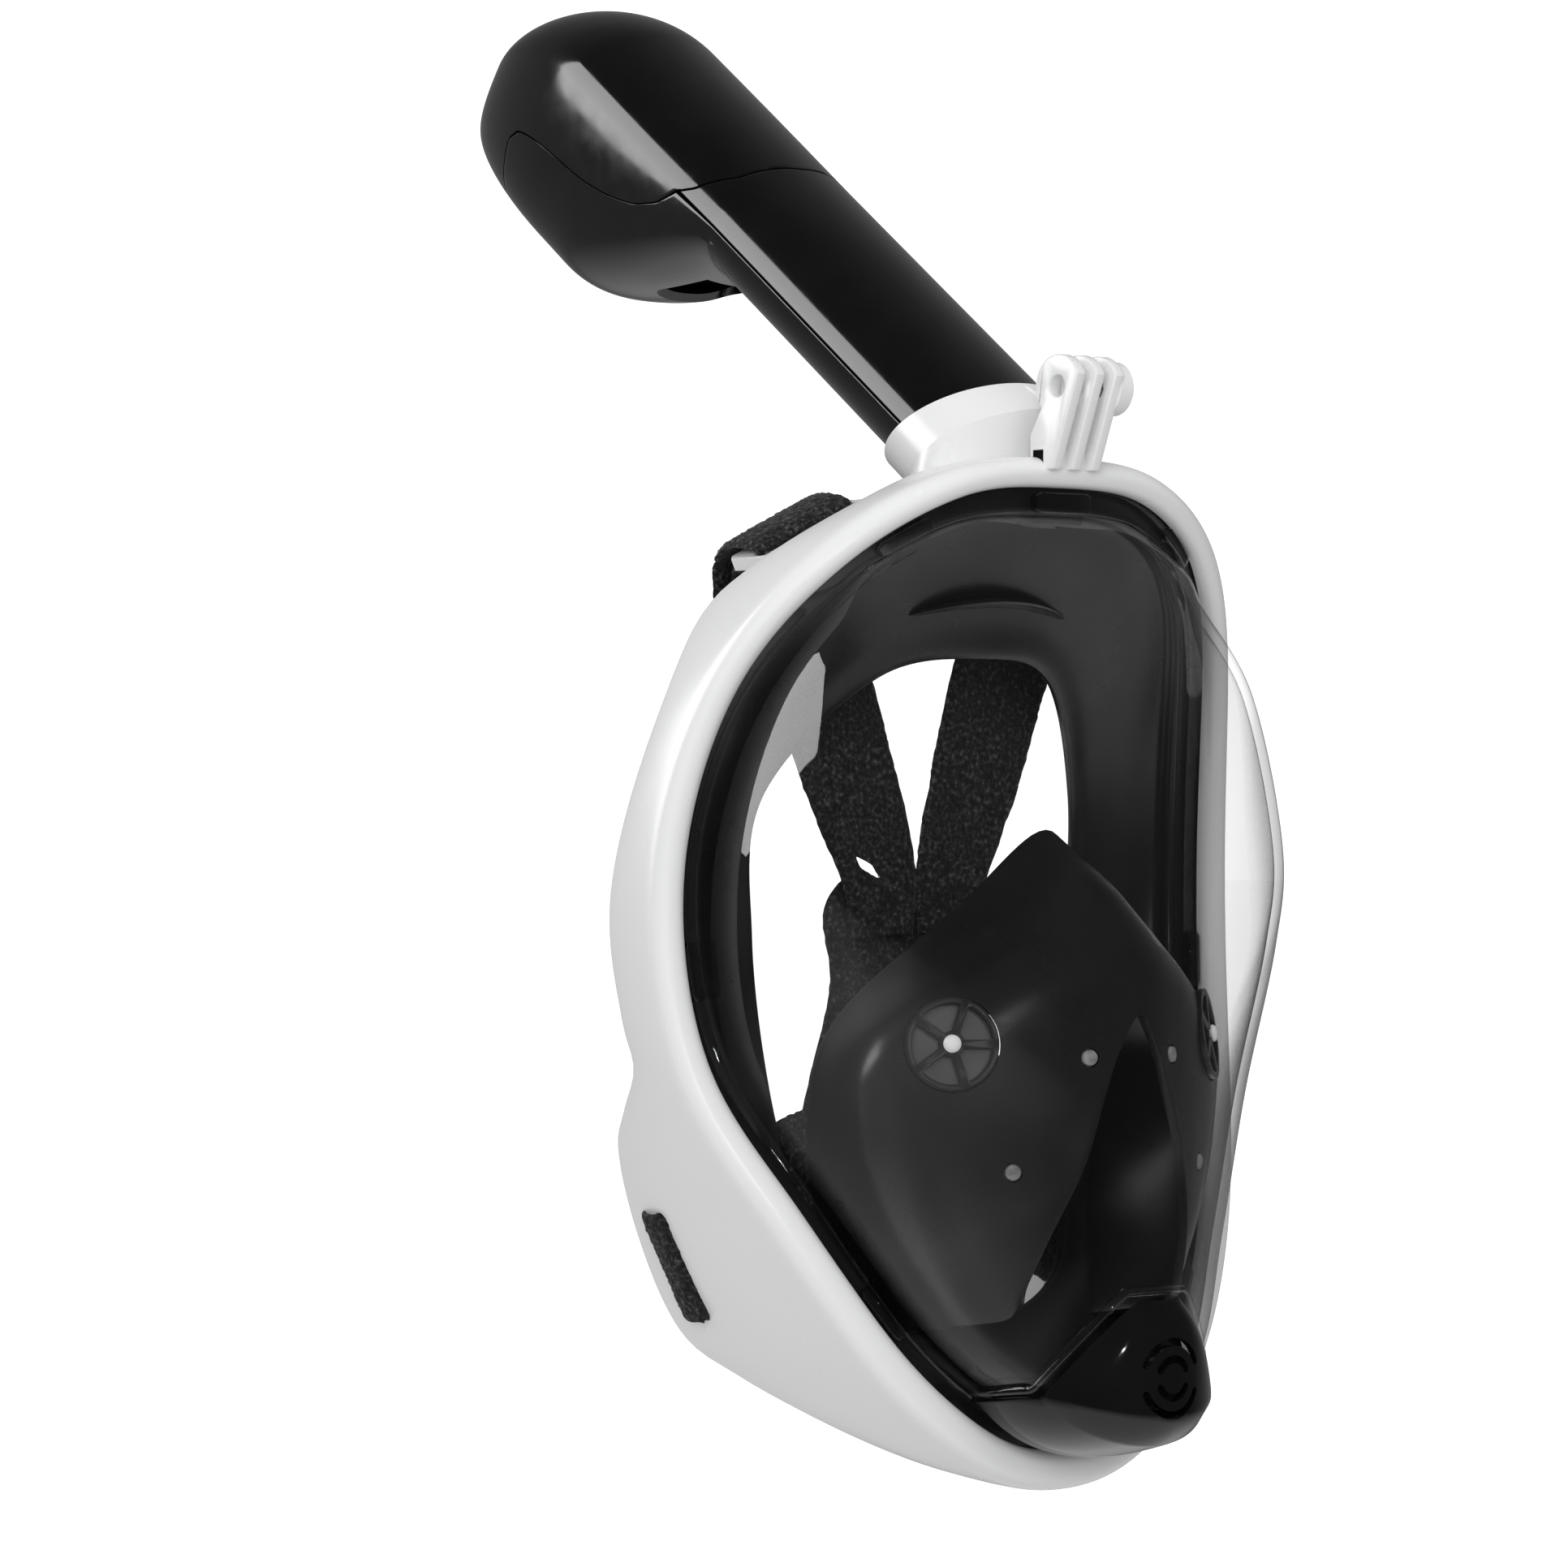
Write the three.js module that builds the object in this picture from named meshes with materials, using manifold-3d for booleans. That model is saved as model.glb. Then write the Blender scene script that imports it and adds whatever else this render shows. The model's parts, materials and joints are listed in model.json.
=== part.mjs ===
// Full face snorkel mask: a clear visor in a white frame, a black silicone skirt and nose pocket,
// an oval snorkel tube with a float valve in its head, and a four-band head harness.
// Millimetres. The mask faces -Y, +Z is up, X = 0 is the mirror plane.
// The origin is the centre of the face seal.

import * as THREE from "three";
import { ParametricGeometry } from "three/addons/geometries/ParametricGeometry.js";
import { mergeVertices } from "three/addons/utils/BufferGeometryUtils.js";
import Module from "manifold-3d";

const wasm = await Module();
wasm.setup();

// ---- driving dimensions ----

const GAP = 0.4; // clearance kept between pieces that touch
const STATIONS = 40; // steps round the visor outline

// Half of the visor opening in the frame, from the top middle to the bottom middle: X, Z.
const OPENING = [
  [0, 115], [30, 112], [57, 96], [75.8, 68], [84, 26], [80.8, -19.5], [66, -54], [45, -88],
  [22, -107.5], [0, -113],
];
const OPENING_HALF_WIDTH = 84;
const FRONT_Y = -50; // the rim at the mirror plane
const RIM_SWEEP = 39; // how far back the rim curves at its widest
const RIM_WIDTH_TOP = 7.3;
const RIM_WIDTH_BOTTOM = 9.7;
const WALL = 2.4; // frame wall and lens thickness
const RIM_BACK = 3.2; // back face of the front rim, behind the opening edge

// Rear edge of the frame's side wall, from top to bottom: Z, Y.
const REAR_EDGE = [
  [122.5, -32], [112, -29], [96, -12], [86, -5], [64, -2], [19, 8.5], [-10, 6], [-22, 4], [-32, 11],
  [-42, 18.5], [-62, 24.5], [-88, 26], [-98, 14], [-106, 0], [-114, -15], [-122.5, -33],
];

// The lens: half of the crease between its side walls and front panel, and the panel's middle.
const CREASE = [
  [0, -56, 97.6], [44, -42.5, 97.2], [56, -40, 87], [68.6, -44, 67], [73, -50, 31], [68.7, -52, 7],
  [57, -53, -29], [47, -55, -64], [30, -65, -91], [0, -79, -102],
];
const LENS_MIDDLE = [0, -80.5, -35];
const LENS_FLANGE = 5.5; // how far the flange reaches inside the opening
const LENS_ROWS = [0, 0.15, 0.32, 0.5, 0.62, 0.75, 0.88, 1]; // from the flange's edge to the middle
const FLANGE_SHARE = 0.15;
const CREASE_SHARE = 0.5;

// Half of the skirt's face opening, where the forehead, cheeks and chin meet it: X, Y, Z.
const FACE_OPENING = [
  [0, -21, 75], [28, -14, 70], [50, 2, 42], [51, 5, 8], [46, 4, -30], [42, -4, -58], [29, -12, -78],
  [0, -17, -85],
];
const SKIRT = 2; // silicone thickness

// Half curves of the nose pocket, from the mirror plane down to the chin: face edge, shoulder,
// cheek line through the check valves, and the edge that rests on the lens.
const POCKET = [
  [[0, -43, 34], [20, -34, 16], [44, -18, -10], [48, -12, -32], [44, -12, -60], [31, -27, -85]],
  [[0, -62, 21], [24, -53, 8], [52, -42, -14], [55, -40, -36], [48, -42, -60], [34, -46, -82]],
  [[0, -72, 6], [22, -66, -1], [42, -56, -19], [44, -54, -38], [37, -56, -60], [27, -58, -80]],
  [[0, -75.5, -9], [6, -75, -17], [10, -74.5, -27], [16, -73.5, -44], [22, -68.5, -60], [26, -62, -76]],
];
const VALVE_RADIUS = 10.2;
const STUD_RADIUS = 1.9;

// Chin purge valve.
const DRAIN = [0, -80.5, -91]; // middle of the valve seat's front face
const DRAIN_RADIUS = 10;
const CAP_HEIGHT = 2.6; // outer face of the cap above the lens at its edge
const CAP_RISE = 4.9; // and how much higher it is in the middle
const CAP_WALL = 1.8;

// Snorkel, in its own frame: the tube runs along local Z, local Y points down and back.
const TUBE_ANGLE = 36.6; // degrees above horizontal
const TUBE_FOOT = [0, -14.6, 133.1]; // middle of the collar's rim
const TUBE_HALF_WIDTH = 23.8;
const TUBE_HALF_DEPTH = 16;
const TUBE_START = -17;
const TUBE_WALL = 2;
const HEAD_START = 85;
const HEAD_FULL = 142;
const HEAD_BACK = 49.5; // how far the float housing reaches behind the tube's axis
const HEAD_END = 204.5;
const HEAD_TIP = 42; // the head's end lies this far behind the tube's axis
const ROUNDING = { front: 154, back: 158, sides: 155 }; // where each side of the head starts to close
const FLOAT = { radius: 12, height: 18, y: 24, z: 122 };
const FLOAT_TRAVEL = 10;
const INTAKE = { halfWidth: 12, low: 87, high: 108, slope: 41 }; // air window under the head
const GRILLE = { halfWidth: 10, length: 23, slats: 7, slat: 1.1, thickness: 2, y: 23, z: 101.6 };

// Edge of the head cap: degrees round the tube from its side towards the back, and height.
const CAP_EDGE = [
  [-90, 89], [-45, 90.5], [-13, 97], [0, 101.5], [8, 107], [13, 116], [16, 155], [19, 168], [25, 172],
  [90, 173],
];
// Steps round the tube's back half and front half, in degrees from its side.
const BACK_TURNS = [8, 13, 16, 19, 25, 40, 56, 73, 90];
const FRONT_TURNS = [12, 24, 38, 54, 72, 90];
const SPLIT_TURN = 3; // half of the gap between the front and rear shells, in degrees
const EDGE_GAP = { turn: 1.5, height: 1.2 }; // the shells end this much short of the head cap

// Camera mount: three prongs with a hole through them.
const PRONG = { thickness: 3, pitch: 6.2, radius: 7.5, hole: 2.6, y: -55, z: 138.6 };

// Strap bars and slots.
const STRAP_WIDTH = 33;
const STRAP_THICKNESS = 2;
const UPPER_BAR = { x: 44, y: -0.5, z: 104.2, depth: 7, length: 35.6, tilt: 24.8 };
const LOWER_SLOT = { x: 66, y: 14, z: -69, width: 11, height: 35, tilt: 28, bar: 1.1 };
const PAD_Y = 7;

// ---- materials ----

const finish = (color, roughness, opacity = 1) =>
  new THREE.MeshStandardMaterial({ color, roughness, metalness: 0, opacity, transparent: opacity < 1 });
const whitePlastic = () => finish(0xf0f0f0, 0.25);
const blackPlastic = () => finish(0x151515, 0.12);
const clearPlastic = () => finish(0xf4f7f8, 0.04, 0.25);
const silicone = () => finish(0x1a1a1a, 0.42);
const textile = () => finish(0x191919, 0.95);
const steel = () => new THREE.MeshStandardMaterial({ color: 0xb8b8b8, roughness: 0.3, metalness: 1 });

// ---- solids ----

// Joins shared vertices and drops collapsed triangles.
function weld(source) {
  const bare = new THREE.BufferGeometry();
  bare.setAttribute("position", source.getAttribute("position").clone());
  bare.setIndex(source.getIndex());
  const merged = mergeVertices(bare, 1e-3);
  const index = merged.getIndex().array;
  const kept = [];
  for (let i = 0; i < index.length; i += 3) {
    const [a, b, c] = [index[i], index[i + 1], index[i + 2]];
    if (a !== b && b !== c && c !== a) kept.push(a, b, c);
  }
  merged.setIndex(kept);
  return merged;
}

// A closed body with its faces turned outward.
function solid(source) {
  const body = weld(source);
  const position = body.getAttribute("position");
  const index = [...body.getIndex().array];
  const corner = (i) => new THREE.Vector3().fromBufferAttribute(position, index[i]);
  let volume = 0;
  for (let i = 0; i < index.length; i += 3) volume += corner(i).dot(corner(i + 1).cross(corner(i + 2)));
  if (volume < 0) body.setIndex(index.reverse());
  return body;
}

// Gives an open surface a thickness, measured along its normals.
function thicken(surface, thickness) {
  const sheet = weld(surface);
  sheet.computeVertexNormals();
  const position = sheet.getAttribute("position");
  const normal = sheet.getAttribute("normal");
  const faces = [...sheet.getIndex().array];
  const count = position.count;
  const points = [];
  for (const depth of [0, thickness]) {
    for (let i = 0; i < count; i++) {
      const p = new THREE.Vector3().fromBufferAttribute(position, i);
      const n = new THREE.Vector3().fromBufferAttribute(normal, i);
      points.push(...p.addScaledVector(n, depth));
    }
  }
  const edges = new Set();
  const all = [...faces];
  for (let i = 0; i < faces.length; i += 3) {
    const [a, b, c] = [faces[i], faces[i + 1], faces[i + 2]];
    edges.add(`${a},${b}`).add(`${b},${c}`).add(`${c},${a}`);
    all.push(c + count, b + count, a + count);
  }
  for (const edge of edges) {
    const [a, b] = edge.split(",").map(Number);
    if (!edges.has(`${b},${a}`)) all.push(b, a, a + count, b, a + count, b + count);
  }
  const result = new THREE.BufferGeometry();
  result.setAttribute("position", new THREE.Float32BufferAttribute(points, 3));
  result.setIndex(all);
  return solid(result);
}

// A skin over a row of closed sections, with flat ends unless the row closes on itself.
function loft(sections, closed = false) {
  const sides = sections[0].length;
  const count = sections.length;
  const faces = [];
  for (let i = 0; i < (closed ? count : count - 1); i++) {
    const next = (i + 1) % count;
    for (let k = 0; k < sides; k++) {
      const turn = (k + 1) % sides;
      faces.push(i * sides + k, i * sides + turn, next * sides + turn);
      faces.push(i * sides + k, next * sides + turn, next * sides + k);
    }
  }
  const last = (count - 1) * sides;
  for (let k = 1; !closed && k < sides - 1; k++) {
    faces.push(0, k + 1, k);
    faces.push(last, last + k, last + k + 1);
  }
  const result = new THREE.BufferGeometry();
  const points = sections.flat().flatMap((p) => [...p]);
  result.setAttribute("position", new THREE.Float32BufferAttribute(points, 3));
  result.setIndex(faces);
  return solid(result);
}

function toManifold(geometry) {
  const body = solid(geometry);
  const vertProperties = new Float32Array(body.getAttribute("position").array);
  const triVerts = new Uint32Array(body.getIndex().array);
  return new wasm.Manifold(new wasm.Mesh({ numProp: 3, vertProperties, triVerts }));
}

function fromManifold(manifold) {
  const mesh = manifold.getMesh();
  const result = new THREE.BufferGeometry();
  result.setAttribute("position", new THREE.Float32BufferAttribute(mesh.vertProperties, 3));
  result.setIndex([...mesh.triVerts]);
  return result;
}

const cut = (body, ...tools) =>
  fromManifold(tools.reduce((left, tool) => left.subtract(toManifold(tool)), toManifold(body)));
const join = (body, ...more) =>
  fromManifold(more.reduce((sum, piece) => sum.add(toManifold(piece)), toManifold(body)));

// Turns a geometry's local Z along a direction and moves it to a point.
function place(geometry, point, direction) {
  const aim = direction.clone().normalize();
  const turn = new THREE.Quaternion().setFromUnitVectors(new THREE.Vector3(0, 0, 1), aim);
  return geometry.clone().applyQuaternion(turn).translate(...point);
}

const extrude = (shape, depth, curveSegments = 8) =>
  new THREE.ExtrudeGeometry(shape, { depth, bevelEnabled: false, curveSegments });
const vector = (p) => new THREE.Vector3(...p);
const mirrored = (p) => new THREE.Vector3(-p.x, p.y, p.z);
const FORWARD = new THREE.Vector3(0, -1, 0);

// ---- visor outline ----

// A closed smooth curve through half an outline and its mirror image.
function closedOutline(half) {
  const right = half.map(vector);
  const left = right.slice(1, -1).reverse().map(mirrored);
  const curve = new THREE.CatmullRomCurve3([...right, ...left], true, "catmullrom", 0.5);
  curve.arcLengthDivisions = 600;
  return curve;
}

// An open smooth curve from one chin end over the mirror plane to the other.
function archedCurve(half) {
  const right = half.map(vector);
  const left = right.slice(1).reverse().map(mirrored);
  return new THREE.CatmullRomCurve3([...left, ...right], false, "catmullrom", 0.5);
}

const opening = closedOutline(OPENING.map(([x, z]) => [x, 0, z]));
const crease = closedOutline(CREASE);
const faceOpening = closedOutline(FACE_OPENING);

// A point beside the visor opening: u runs round it from the top, out is away from its middle.
function rimPoint(u, out, back) {
  const p = opening.getPointAt(u % 1);
  const along = opening.getTangentAt(u % 1);
  const y = FRONT_Y + RIM_SWEEP * Math.abs(p.x / OPENING_HALF_WIDTH) ** 3;
  return new THREE.Vector3(p.x - along.z * out, y + back, p.z + along.x * out);
}

function rimWidth(u) {
  return THREE.MathUtils.lerp(RIM_WIDTH_TOP, RIM_WIDTH_BOTTOM, (1 - Math.cos(2 * Math.PI * u)) / 2);
}

// How far the side wall reaches behind the opening edge.
function rimDepth(u) {
  const outer = rimPoint(u, rimWidth(u), 0);
  const next = REAR_EDGE.findIndex(([z], i) => i > 0 && (outer.z >= z || i === REAR_EDGE.length - 1));
  const [upper, lower] = [REAR_EDGE[next - 1], REAR_EDGE[next]];
  return THREE.MathUtils.mapLinear(outer.z, upper[0], lower[0], upper[1], lower[1]) - outer.y;
}

// A ring whose section at each station is a list of [out, back] pairs.
function rimRing(sectionAt) {
  const sections = [];
  for (let i = 0; i < STATIONS; i++) {
    const u = i / STATIONS;
    sections.push(sectionAt(u).map(([out, back]) => rimPoint(u, out, back)));
  }
  return loft(sections, true);
}

// ---- white frame ----

function frameSection(u) {
  const w = rimWidth(u);
  const d = rimDepth(u);
  return [
    [0, 1], [0.8, -0.6], [3, -1.8], [w - 2.4, -1.3], [w - 0.6, 0.6], [w, 3], [w - 1, d],
    [w - 1 - WALL, d], [w - 0.4 - WALL, RIM_BACK], [0, RIM_BACK],
  ];
}

// Everything inside the frame's outer face, grown by the clearance.
const frameEnvelope = rimRing((u) => {
  const w = rimWidth(u);
  return [[-30, -3], [w + GAP, -3], [w + GAP, 3], [w - 1 + GAP, rimDepth(u) + GAP], [-30, rimDepth(u) + GAP]];
});

const mirrorTo = (side, geometry) => (side > 0 ? geometry : solid(geometry.scale(-1, 1, 1)));

function lowerSlotCutter(side) {
  const { x, y, z, width, height, tilt } = LOWER_SLOT;
  const box = new THREE.BoxGeometry(24, width, height);
  return mirrorTo(side, box.rotateY(THREE.MathUtils.degToRad(tilt)).translate(x, y, z));
}

// The pin across the slot that a lower strap is folded round.
function lowerSlotBar(side) {
  const { x, y, z, height, tilt, bar } = LOWER_SLOT;
  const pin = new THREE.CylinderGeometry(bar, bar, height + 3, 10).rotateX(Math.PI / 2);
  return mirrorTo(side, pin.rotateY(THREE.MathUtils.degToRad(tilt)).translate(x - 0.5, y, z));
}

function frontFrame() {
  const ring = cut(rimRing(frameSection), lowerSlotCutter(1), lowerSlotCutter(-1));
  return join(ring, lowerSlotBar(1), lowerSlotBar(-1));
}

// A plate that runs back from the clamp ring, with a bar at its end for an upper strap.
function strapLug(side) {
  const { x, y, z, depth, length, tilt } = UPPER_BAR;
  const [half, end] = [length / 2, y + depth / 2];
  const corners = [[-half, -37], [half, -24], [half, end], [-half, end]];
  const shape = new THREE.Shape(corners.map(([along, back]) => new THREE.Vector2(along, back)));
  const plate = extrude(shape, 3).translate(0, 0, -1.5);
  const slot = new THREE.BoxGeometry(STRAP_WIDTH, 5.6, 8).translate(0, y - depth / 2 - 2.8, 0);
  return mirrorTo(side, cut(plate, slot).rotateY(THREE.MathUtils.degToRad(tilt)).translate(x, 0, z));
}

function rearFrame() {
  const ring = rimRing((u) => {
    const w = rimWidth(u);
    return [[-1, 9.2], [w - 3.9, 9.2], [w - 3.9, 14], [-1, 12.5]];
  });
  return join(ring, strapLug(1), strapLug(-1));
}

// ---- lens ----

// A point on the lens's outer face: v is 0 at the flange's edge and 1 at the front panel's middle.
function lensPoint(u, v) {
  const turn = ((u % 1) + 1) % 1;
  if (v < FLANGE_SHARE) {
    const out = THREE.MathUtils.mapLinear(v, 0, FLANGE_SHARE, rimWidth(turn) - WALL - 1, -LENS_FLANGE);
    return rimPoint(turn, out, RIM_BACK + GAP);
  }
  const fold = crease.getPointAt(turn);
  if (v < CREASE_SHARE) {
    const share = THREE.MathUtils.mapLinear(v, FLANGE_SHARE, CREASE_SHARE, 0, 1);
    const wall = rimPoint(turn, -LENS_FLANGE, RIM_BACK + GAP).lerp(fold, share);
    const bow = rimPoint(turn, 1, 0).sub(rimPoint(turn, 0, 0));
    return wall.addScaledVector(bow, 1.2 * Math.sin(Math.PI * share));
  }
  const reach = THREE.MathUtils.mapLinear(v, CREASE_SHARE, 1, 1, 0);
  const [x, y, z] = LENS_MIDDLE;
  return new THREE.Vector3(
    x + (fold.x - x) * reach,
    y + (fold.y - y) * reach ** 2,
    z + (fold.z - z) * reach,
  );
}

// The same point moved outward by a height above the lens.
function aboveLens(u, v, height) {
  const step = 0.004;
  const across = lensPoint(u + step, v).sub(lensPoint(u - step, v));
  const inward = lensPoint(u, v + step).sub(lensPoint(u, v - step));
  return lensPoint(u, v).addScaledVector(inward.cross(across).normalize(), height);
}

function lens() {
  const rows = LENS_ROWS.length - 1;
  const surface = new ParametricGeometry(
    (u, v, target) => target.copy(lensPoint(u, LENS_ROWS[Math.round(v * rows)])), STATIONS, rows,
  );
  const hole = new THREE.CylinderGeometry(DRAIN_RADIUS + GAP, DRAIN_RADIUS + GAP, 16, 24);
  return cut(thicken(surface, WALL), hole.translate(...DRAIN));
}

// ---- silicone skirt and nose pocket ----

function skirtRow(u, row) {
  const edge = faceOpening.getPointAt(u % 1);
  const neck = rimPoint(u, -7.5, 11);
  const away = rimPoint(u, 1, 0).sub(rimPoint(u, 0, 0));
  return [
    () => rimPoint(u, rimWidth(u) - WALL - 1.4, 6.6),
    () => rimPoint(u, -LENS_FLANGE, 6.6),
    () => neck,
    () => neck.lerp(edge, 0.35).add(new THREE.Vector3(0, 2.5, 0)),
    () => neck.lerp(edge, 0.72).add(new THREE.Vector3(0, 2, 0)),
    () => edge,
    () => edge.addScaledVector(away, 4).add(new THREE.Vector3(0, 5, 0)),
    () => edge.addScaledVector(away, 11).add(new THREE.Vector3(0, 7, 0)),
  ][row]();
}

function faceSkirt() {
  const rows = 7;
  const surface = new ParametricGeometry(
    (u, v, target) => target.copy(skirtRow(u, Math.round(v * rows))), STATIONS, rows,
  );
  return thicken(surface, SKIRT);
}

const pocketRows = POCKET.map(archedCurve);

// A point on the pocket's outer face: p runs from the left chin to the right, q from face to lens.
function pocketPoint(p, q) {
  const points = pocketRows.map((row) => row.getPointAt(p));
  const guide = new THREE.CatmullRomCurve3(points, false, "catmullrom", 0.5);
  return guide.getPoint(q);
}

function pocketNormal(p, q) {
  const step = 0.01;
  const across = pocketPoint(p + step, q).sub(pocketPoint(p - step, q));
  const forward = pocketPoint(p, q + step).sub(pocketPoint(p, q - step));
  return forward.cross(across).normalize();
}

const VALVE_AT = { p: 0.29, q: 0.64 };
const STUDS_AT = [{ p: 0.19, q: 0.86 }, { p: 0.38, q: 0.92 }];

const valvePoint = pocketPoint(1 - VALVE_AT.p, VALVE_AT.q);
const valveNormal = pocketNormal(1 - VALVE_AT.p, VALVE_AT.q);
const studPlaces = STUDS_AT.map(({ p, q }) => [pocketPoint(1 - p, q), pocketNormal(1 - p, q)]);

// A turned piece from [radius, height] pairs, along a direction.
const turned = (profile, point, direction, segments = 16) =>
  place(
    new THREE.LatheGeometry(profile.map(([r, h]) => new THREE.Vector2(r, h)), segments).rotateX(Math.PI / 2),
    point, direction,
  );
const rod = (radius, from, to, point, direction, segments = 16) =>
  turned([[0, from], [radius, from], [radius, to], [0, to]], point, direction, segments);

const onSide = (side, p) => (side > 0 ? p : mirrored(p));

function nosePocket() {
  const surface = new ParametricGeometry((u, v, target) => target.copy(pocketPoint(u, v)), 24, 8);
  const tools = [1, -1].flatMap((side) => [
    rod(VALVE_RADIUS + 1.2, -8, 8, onSide(side, valvePoint), onSide(side, valveNormal), 24),
    ...studPlaces.map(([point, normal]) =>
      rod(STUD_RADIUS + GAP, -4, 4, onSide(side, point), onSide(side, normal), 10)),
  ]);
  return cut(thicken(surface, SKIRT), ...tools);
}

// A round plate with sector openings between its spokes.
function spokedShape(radius, spokes, hub, hubHole, spokeWidth) {
  const shape = new THREE.Shape().absarc(0, 0, radius, 0, 2 * Math.PI);
  const rim = radius - 1.6;
  for (let i = 0; i < spokes; i++) {
    const start = (2 * Math.PI * i) / spokes;
    const end = (2 * Math.PI * (i + 1)) / spokes;
    const [outer, inner] = [spokeWidth / 2 / rim, spokeWidth / 2 / hub];
    const window = new THREE.Path();
    window.absarc(0, 0, rim, start + outer, end - outer, false);
    window.absarc(0, 0, hub, end - inner, start + inner, true);
    shape.holes.push(window);
  }
  if (hubHole > 0) shape.holes.push(new THREE.Path().absarc(0, 0, hubHole, 0, 2 * Math.PI));
  return shape;
}

const PIN_RADIUS = 1;
const valveSeat = (side) =>
  place(
    extrude(spokedShape(VALVE_RADIUS + 0.8, 5, 3, PIN_RADIUS + GAP, 2), 2.2, 3).translate(0, 0, -1.8),
    onSide(side, valvePoint), onSide(side, valveNormal),
  );

function valveDisc(side) {
  const shape = new THREE.Shape().absarc(0, 0, VALVE_RADIUS - 0.6, 0, 2 * Math.PI);
  shape.holes.push(new THREE.Path().absarc(0, 0, PIN_RADIUS + GAP, 0, 2 * Math.PI));
  return place(
    extrude(shape, 0.8, 12).translate(0, 0, -3.1), onSide(side, valvePoint), onSide(side, valveNormal),
  );
}

// A headed pin: domed in front of the seat, with a stop bead behind the disc's travel.
const valvePin = (side) =>
  turned(
    [[0, -6.4], [1.8, -6], [1.8, -5.2], [PIN_RADIUS, -4.9], [PIN_RADIUS, 0.8], [2, 0.8], [1.8, 1.8],
      [0, 2.2]],
    onSide(side, valvePoint), onSide(side, valveNormal), 12,
  );

const pocketStud = (side, [point, normal]) =>
  turned(
    [[0, -3.2], [2.6, -3.2], [2.6, -2.4], [STUD_RADIUS, -2.4], [STUD_RADIUS, 0.3], [1.2, 0.8], [0, 0.9]],
    onSide(side, point), onSide(side, normal), 10,
  );

// ---- chin purge valve ----

const drainSeat = () =>
  place(extrude(spokedShape(DRAIN_RADIUS, 4, 3, 0, 2), 3, 5).translate(0, 0, -3), DRAIN, FORWARD);
const drainDisc = () => rod(DRAIN_RADIUS - 1.2, GAP, 1.2, DRAIN, FORWARD, 20);

// A ring sector, for the slots of the cap.
function arcSlot(radius, width, start, end) {
  const shape = new THREE.Shape();
  shape.absarc(0, 0, radius + width / 2, start, end, false);
  shape.absarc(0, 0, radius - width / 2, end, start, true);
  return place(extrude(shape, 16, 6), [DRAIN[0], DRAIN[1] + 1, DRAIN[2] - 2], FORWARD);
}

function drainCap() {
  const surface = new ParametricGeometry((p, q, target) => {
    const half = 0.052 * Math.sqrt(1 - (0.97 * q) ** 3);
    const dome = (1 - (2 * p - 1) ** 4) * (1 - (2 * q - 1) ** 6);
    target.copy(aboveLens(0.5 + half * (2 * p - 1), 0.2 + 0.5 * q, CAP_HEIGHT + CAP_RISE * dome));
  }, 12, 12);
  const slots = [];
  for (const [radius, reach] of [[4.5, 1.1], [8.5, 1.15]]) {
    for (const middle of [Math.PI / 2, -Math.PI / 2]) {
      slots.push(arcSlot(radius, 1.8, middle - reach, middle + reach));
    }
  }
  return cut(thicken(surface, CAP_WALL), ...slots);
}

// ---- snorkel, in its own frame ----

// The tube and head's outer face: angle 0 is the wearer's right edge, 90 degrees the back.
function tubePoint(angle, z) {
  const growth = THREE.MathUtils.clamp((z - HEAD_START) / (HEAD_FULL - HEAD_START), 0, 1);
  const housing = Math.sin((growth * Math.PI) / 2);
  const back = Math.sin(angle) > 0;
  const power = back ? 2 / THREE.MathUtils.lerp(2, 2.8, housing) : 1;
  const depth = back ? THREE.MathUtils.lerp(TUBE_HALF_DEPTH, HEAD_BACK, housing) : TUBE_HALF_DEPTH;
  const [c, s] = [Math.cos(angle), Math.sin(angle)];
  const round = (start) => Math.sqrt(Math.max(0, 1 - Math.max(0, (z - start) / (HEAD_END - start)) ** 2));
  const x = (TUBE_HALF_WIDTH + housing) * Math.sign(c) * Math.abs(c) ** power * round(ROUNDING.sides);
  const y = depth * Math.sign(s) * Math.abs(s) ** power;
  const closing = round(back ? ROUNDING.back : ROUNDING.front);
  return new THREE.Vector3(x, HEAD_TIP + (y - HEAD_TIP) * closing, z);
}

// Height of the head cap's edge at a turn in degrees, the same on both sides of the tube.
function capEdge(degrees, short = 0) {
  const turn = THREE.MathUtils.radToDeg(Math.asin(Math.sin(THREE.MathUtils.degToRad(degrees)))) - short;
  const next = Math.max(1, CAP_EDGE.findIndex(([knot]) => turn <= knot + 0.01));
  const [low, high] = [CAP_EDGE[next - 1], CAP_EDGE[next]];
  return THREE.MathUtils.mapLinear(turn, low[0], high[0], low[1], high[1]);
}

// Turns from one side of the tube over its back or front to the other.
const overTop = (turns, start = 0) =>
  [...turns, ...turns.slice(0, -1).reverse().map((turn) => 180 - turn)].map((turn) => turn + start);

// A surface round the tube at given turns, between two heights that depend on the turn.
function tubeSurface(turns, rows, heightAt) {
  return new ParametricGeometry((u, v, target) => {
    const turn = turns[Math.round(u * (turns.length - 1))];
    target.copy(tubePoint(THREE.MathUtils.degToRad(turn), heightAt(turn, v)));
  }, turns.length - 1, rows);
}

// A shell of the tube from its foot to just below the head cap.
function tubeShell(turns, rows) {
  const { turn: short, height } = EDGE_GAP;
  const surface = tubeSurface(turns, rows, (turn, v) =>
    THREE.MathUtils.lerp(TUBE_START, capEdge(turn, short) - height, v));
  return thicken(surface, -TUBE_WALL);
}

const frontShell = () =>
  tubeShell([180 + SPLIT_TURN, ...overTop(FRONT_TURNS, 180), 360 - SPLIT_TURN], 6);

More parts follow.
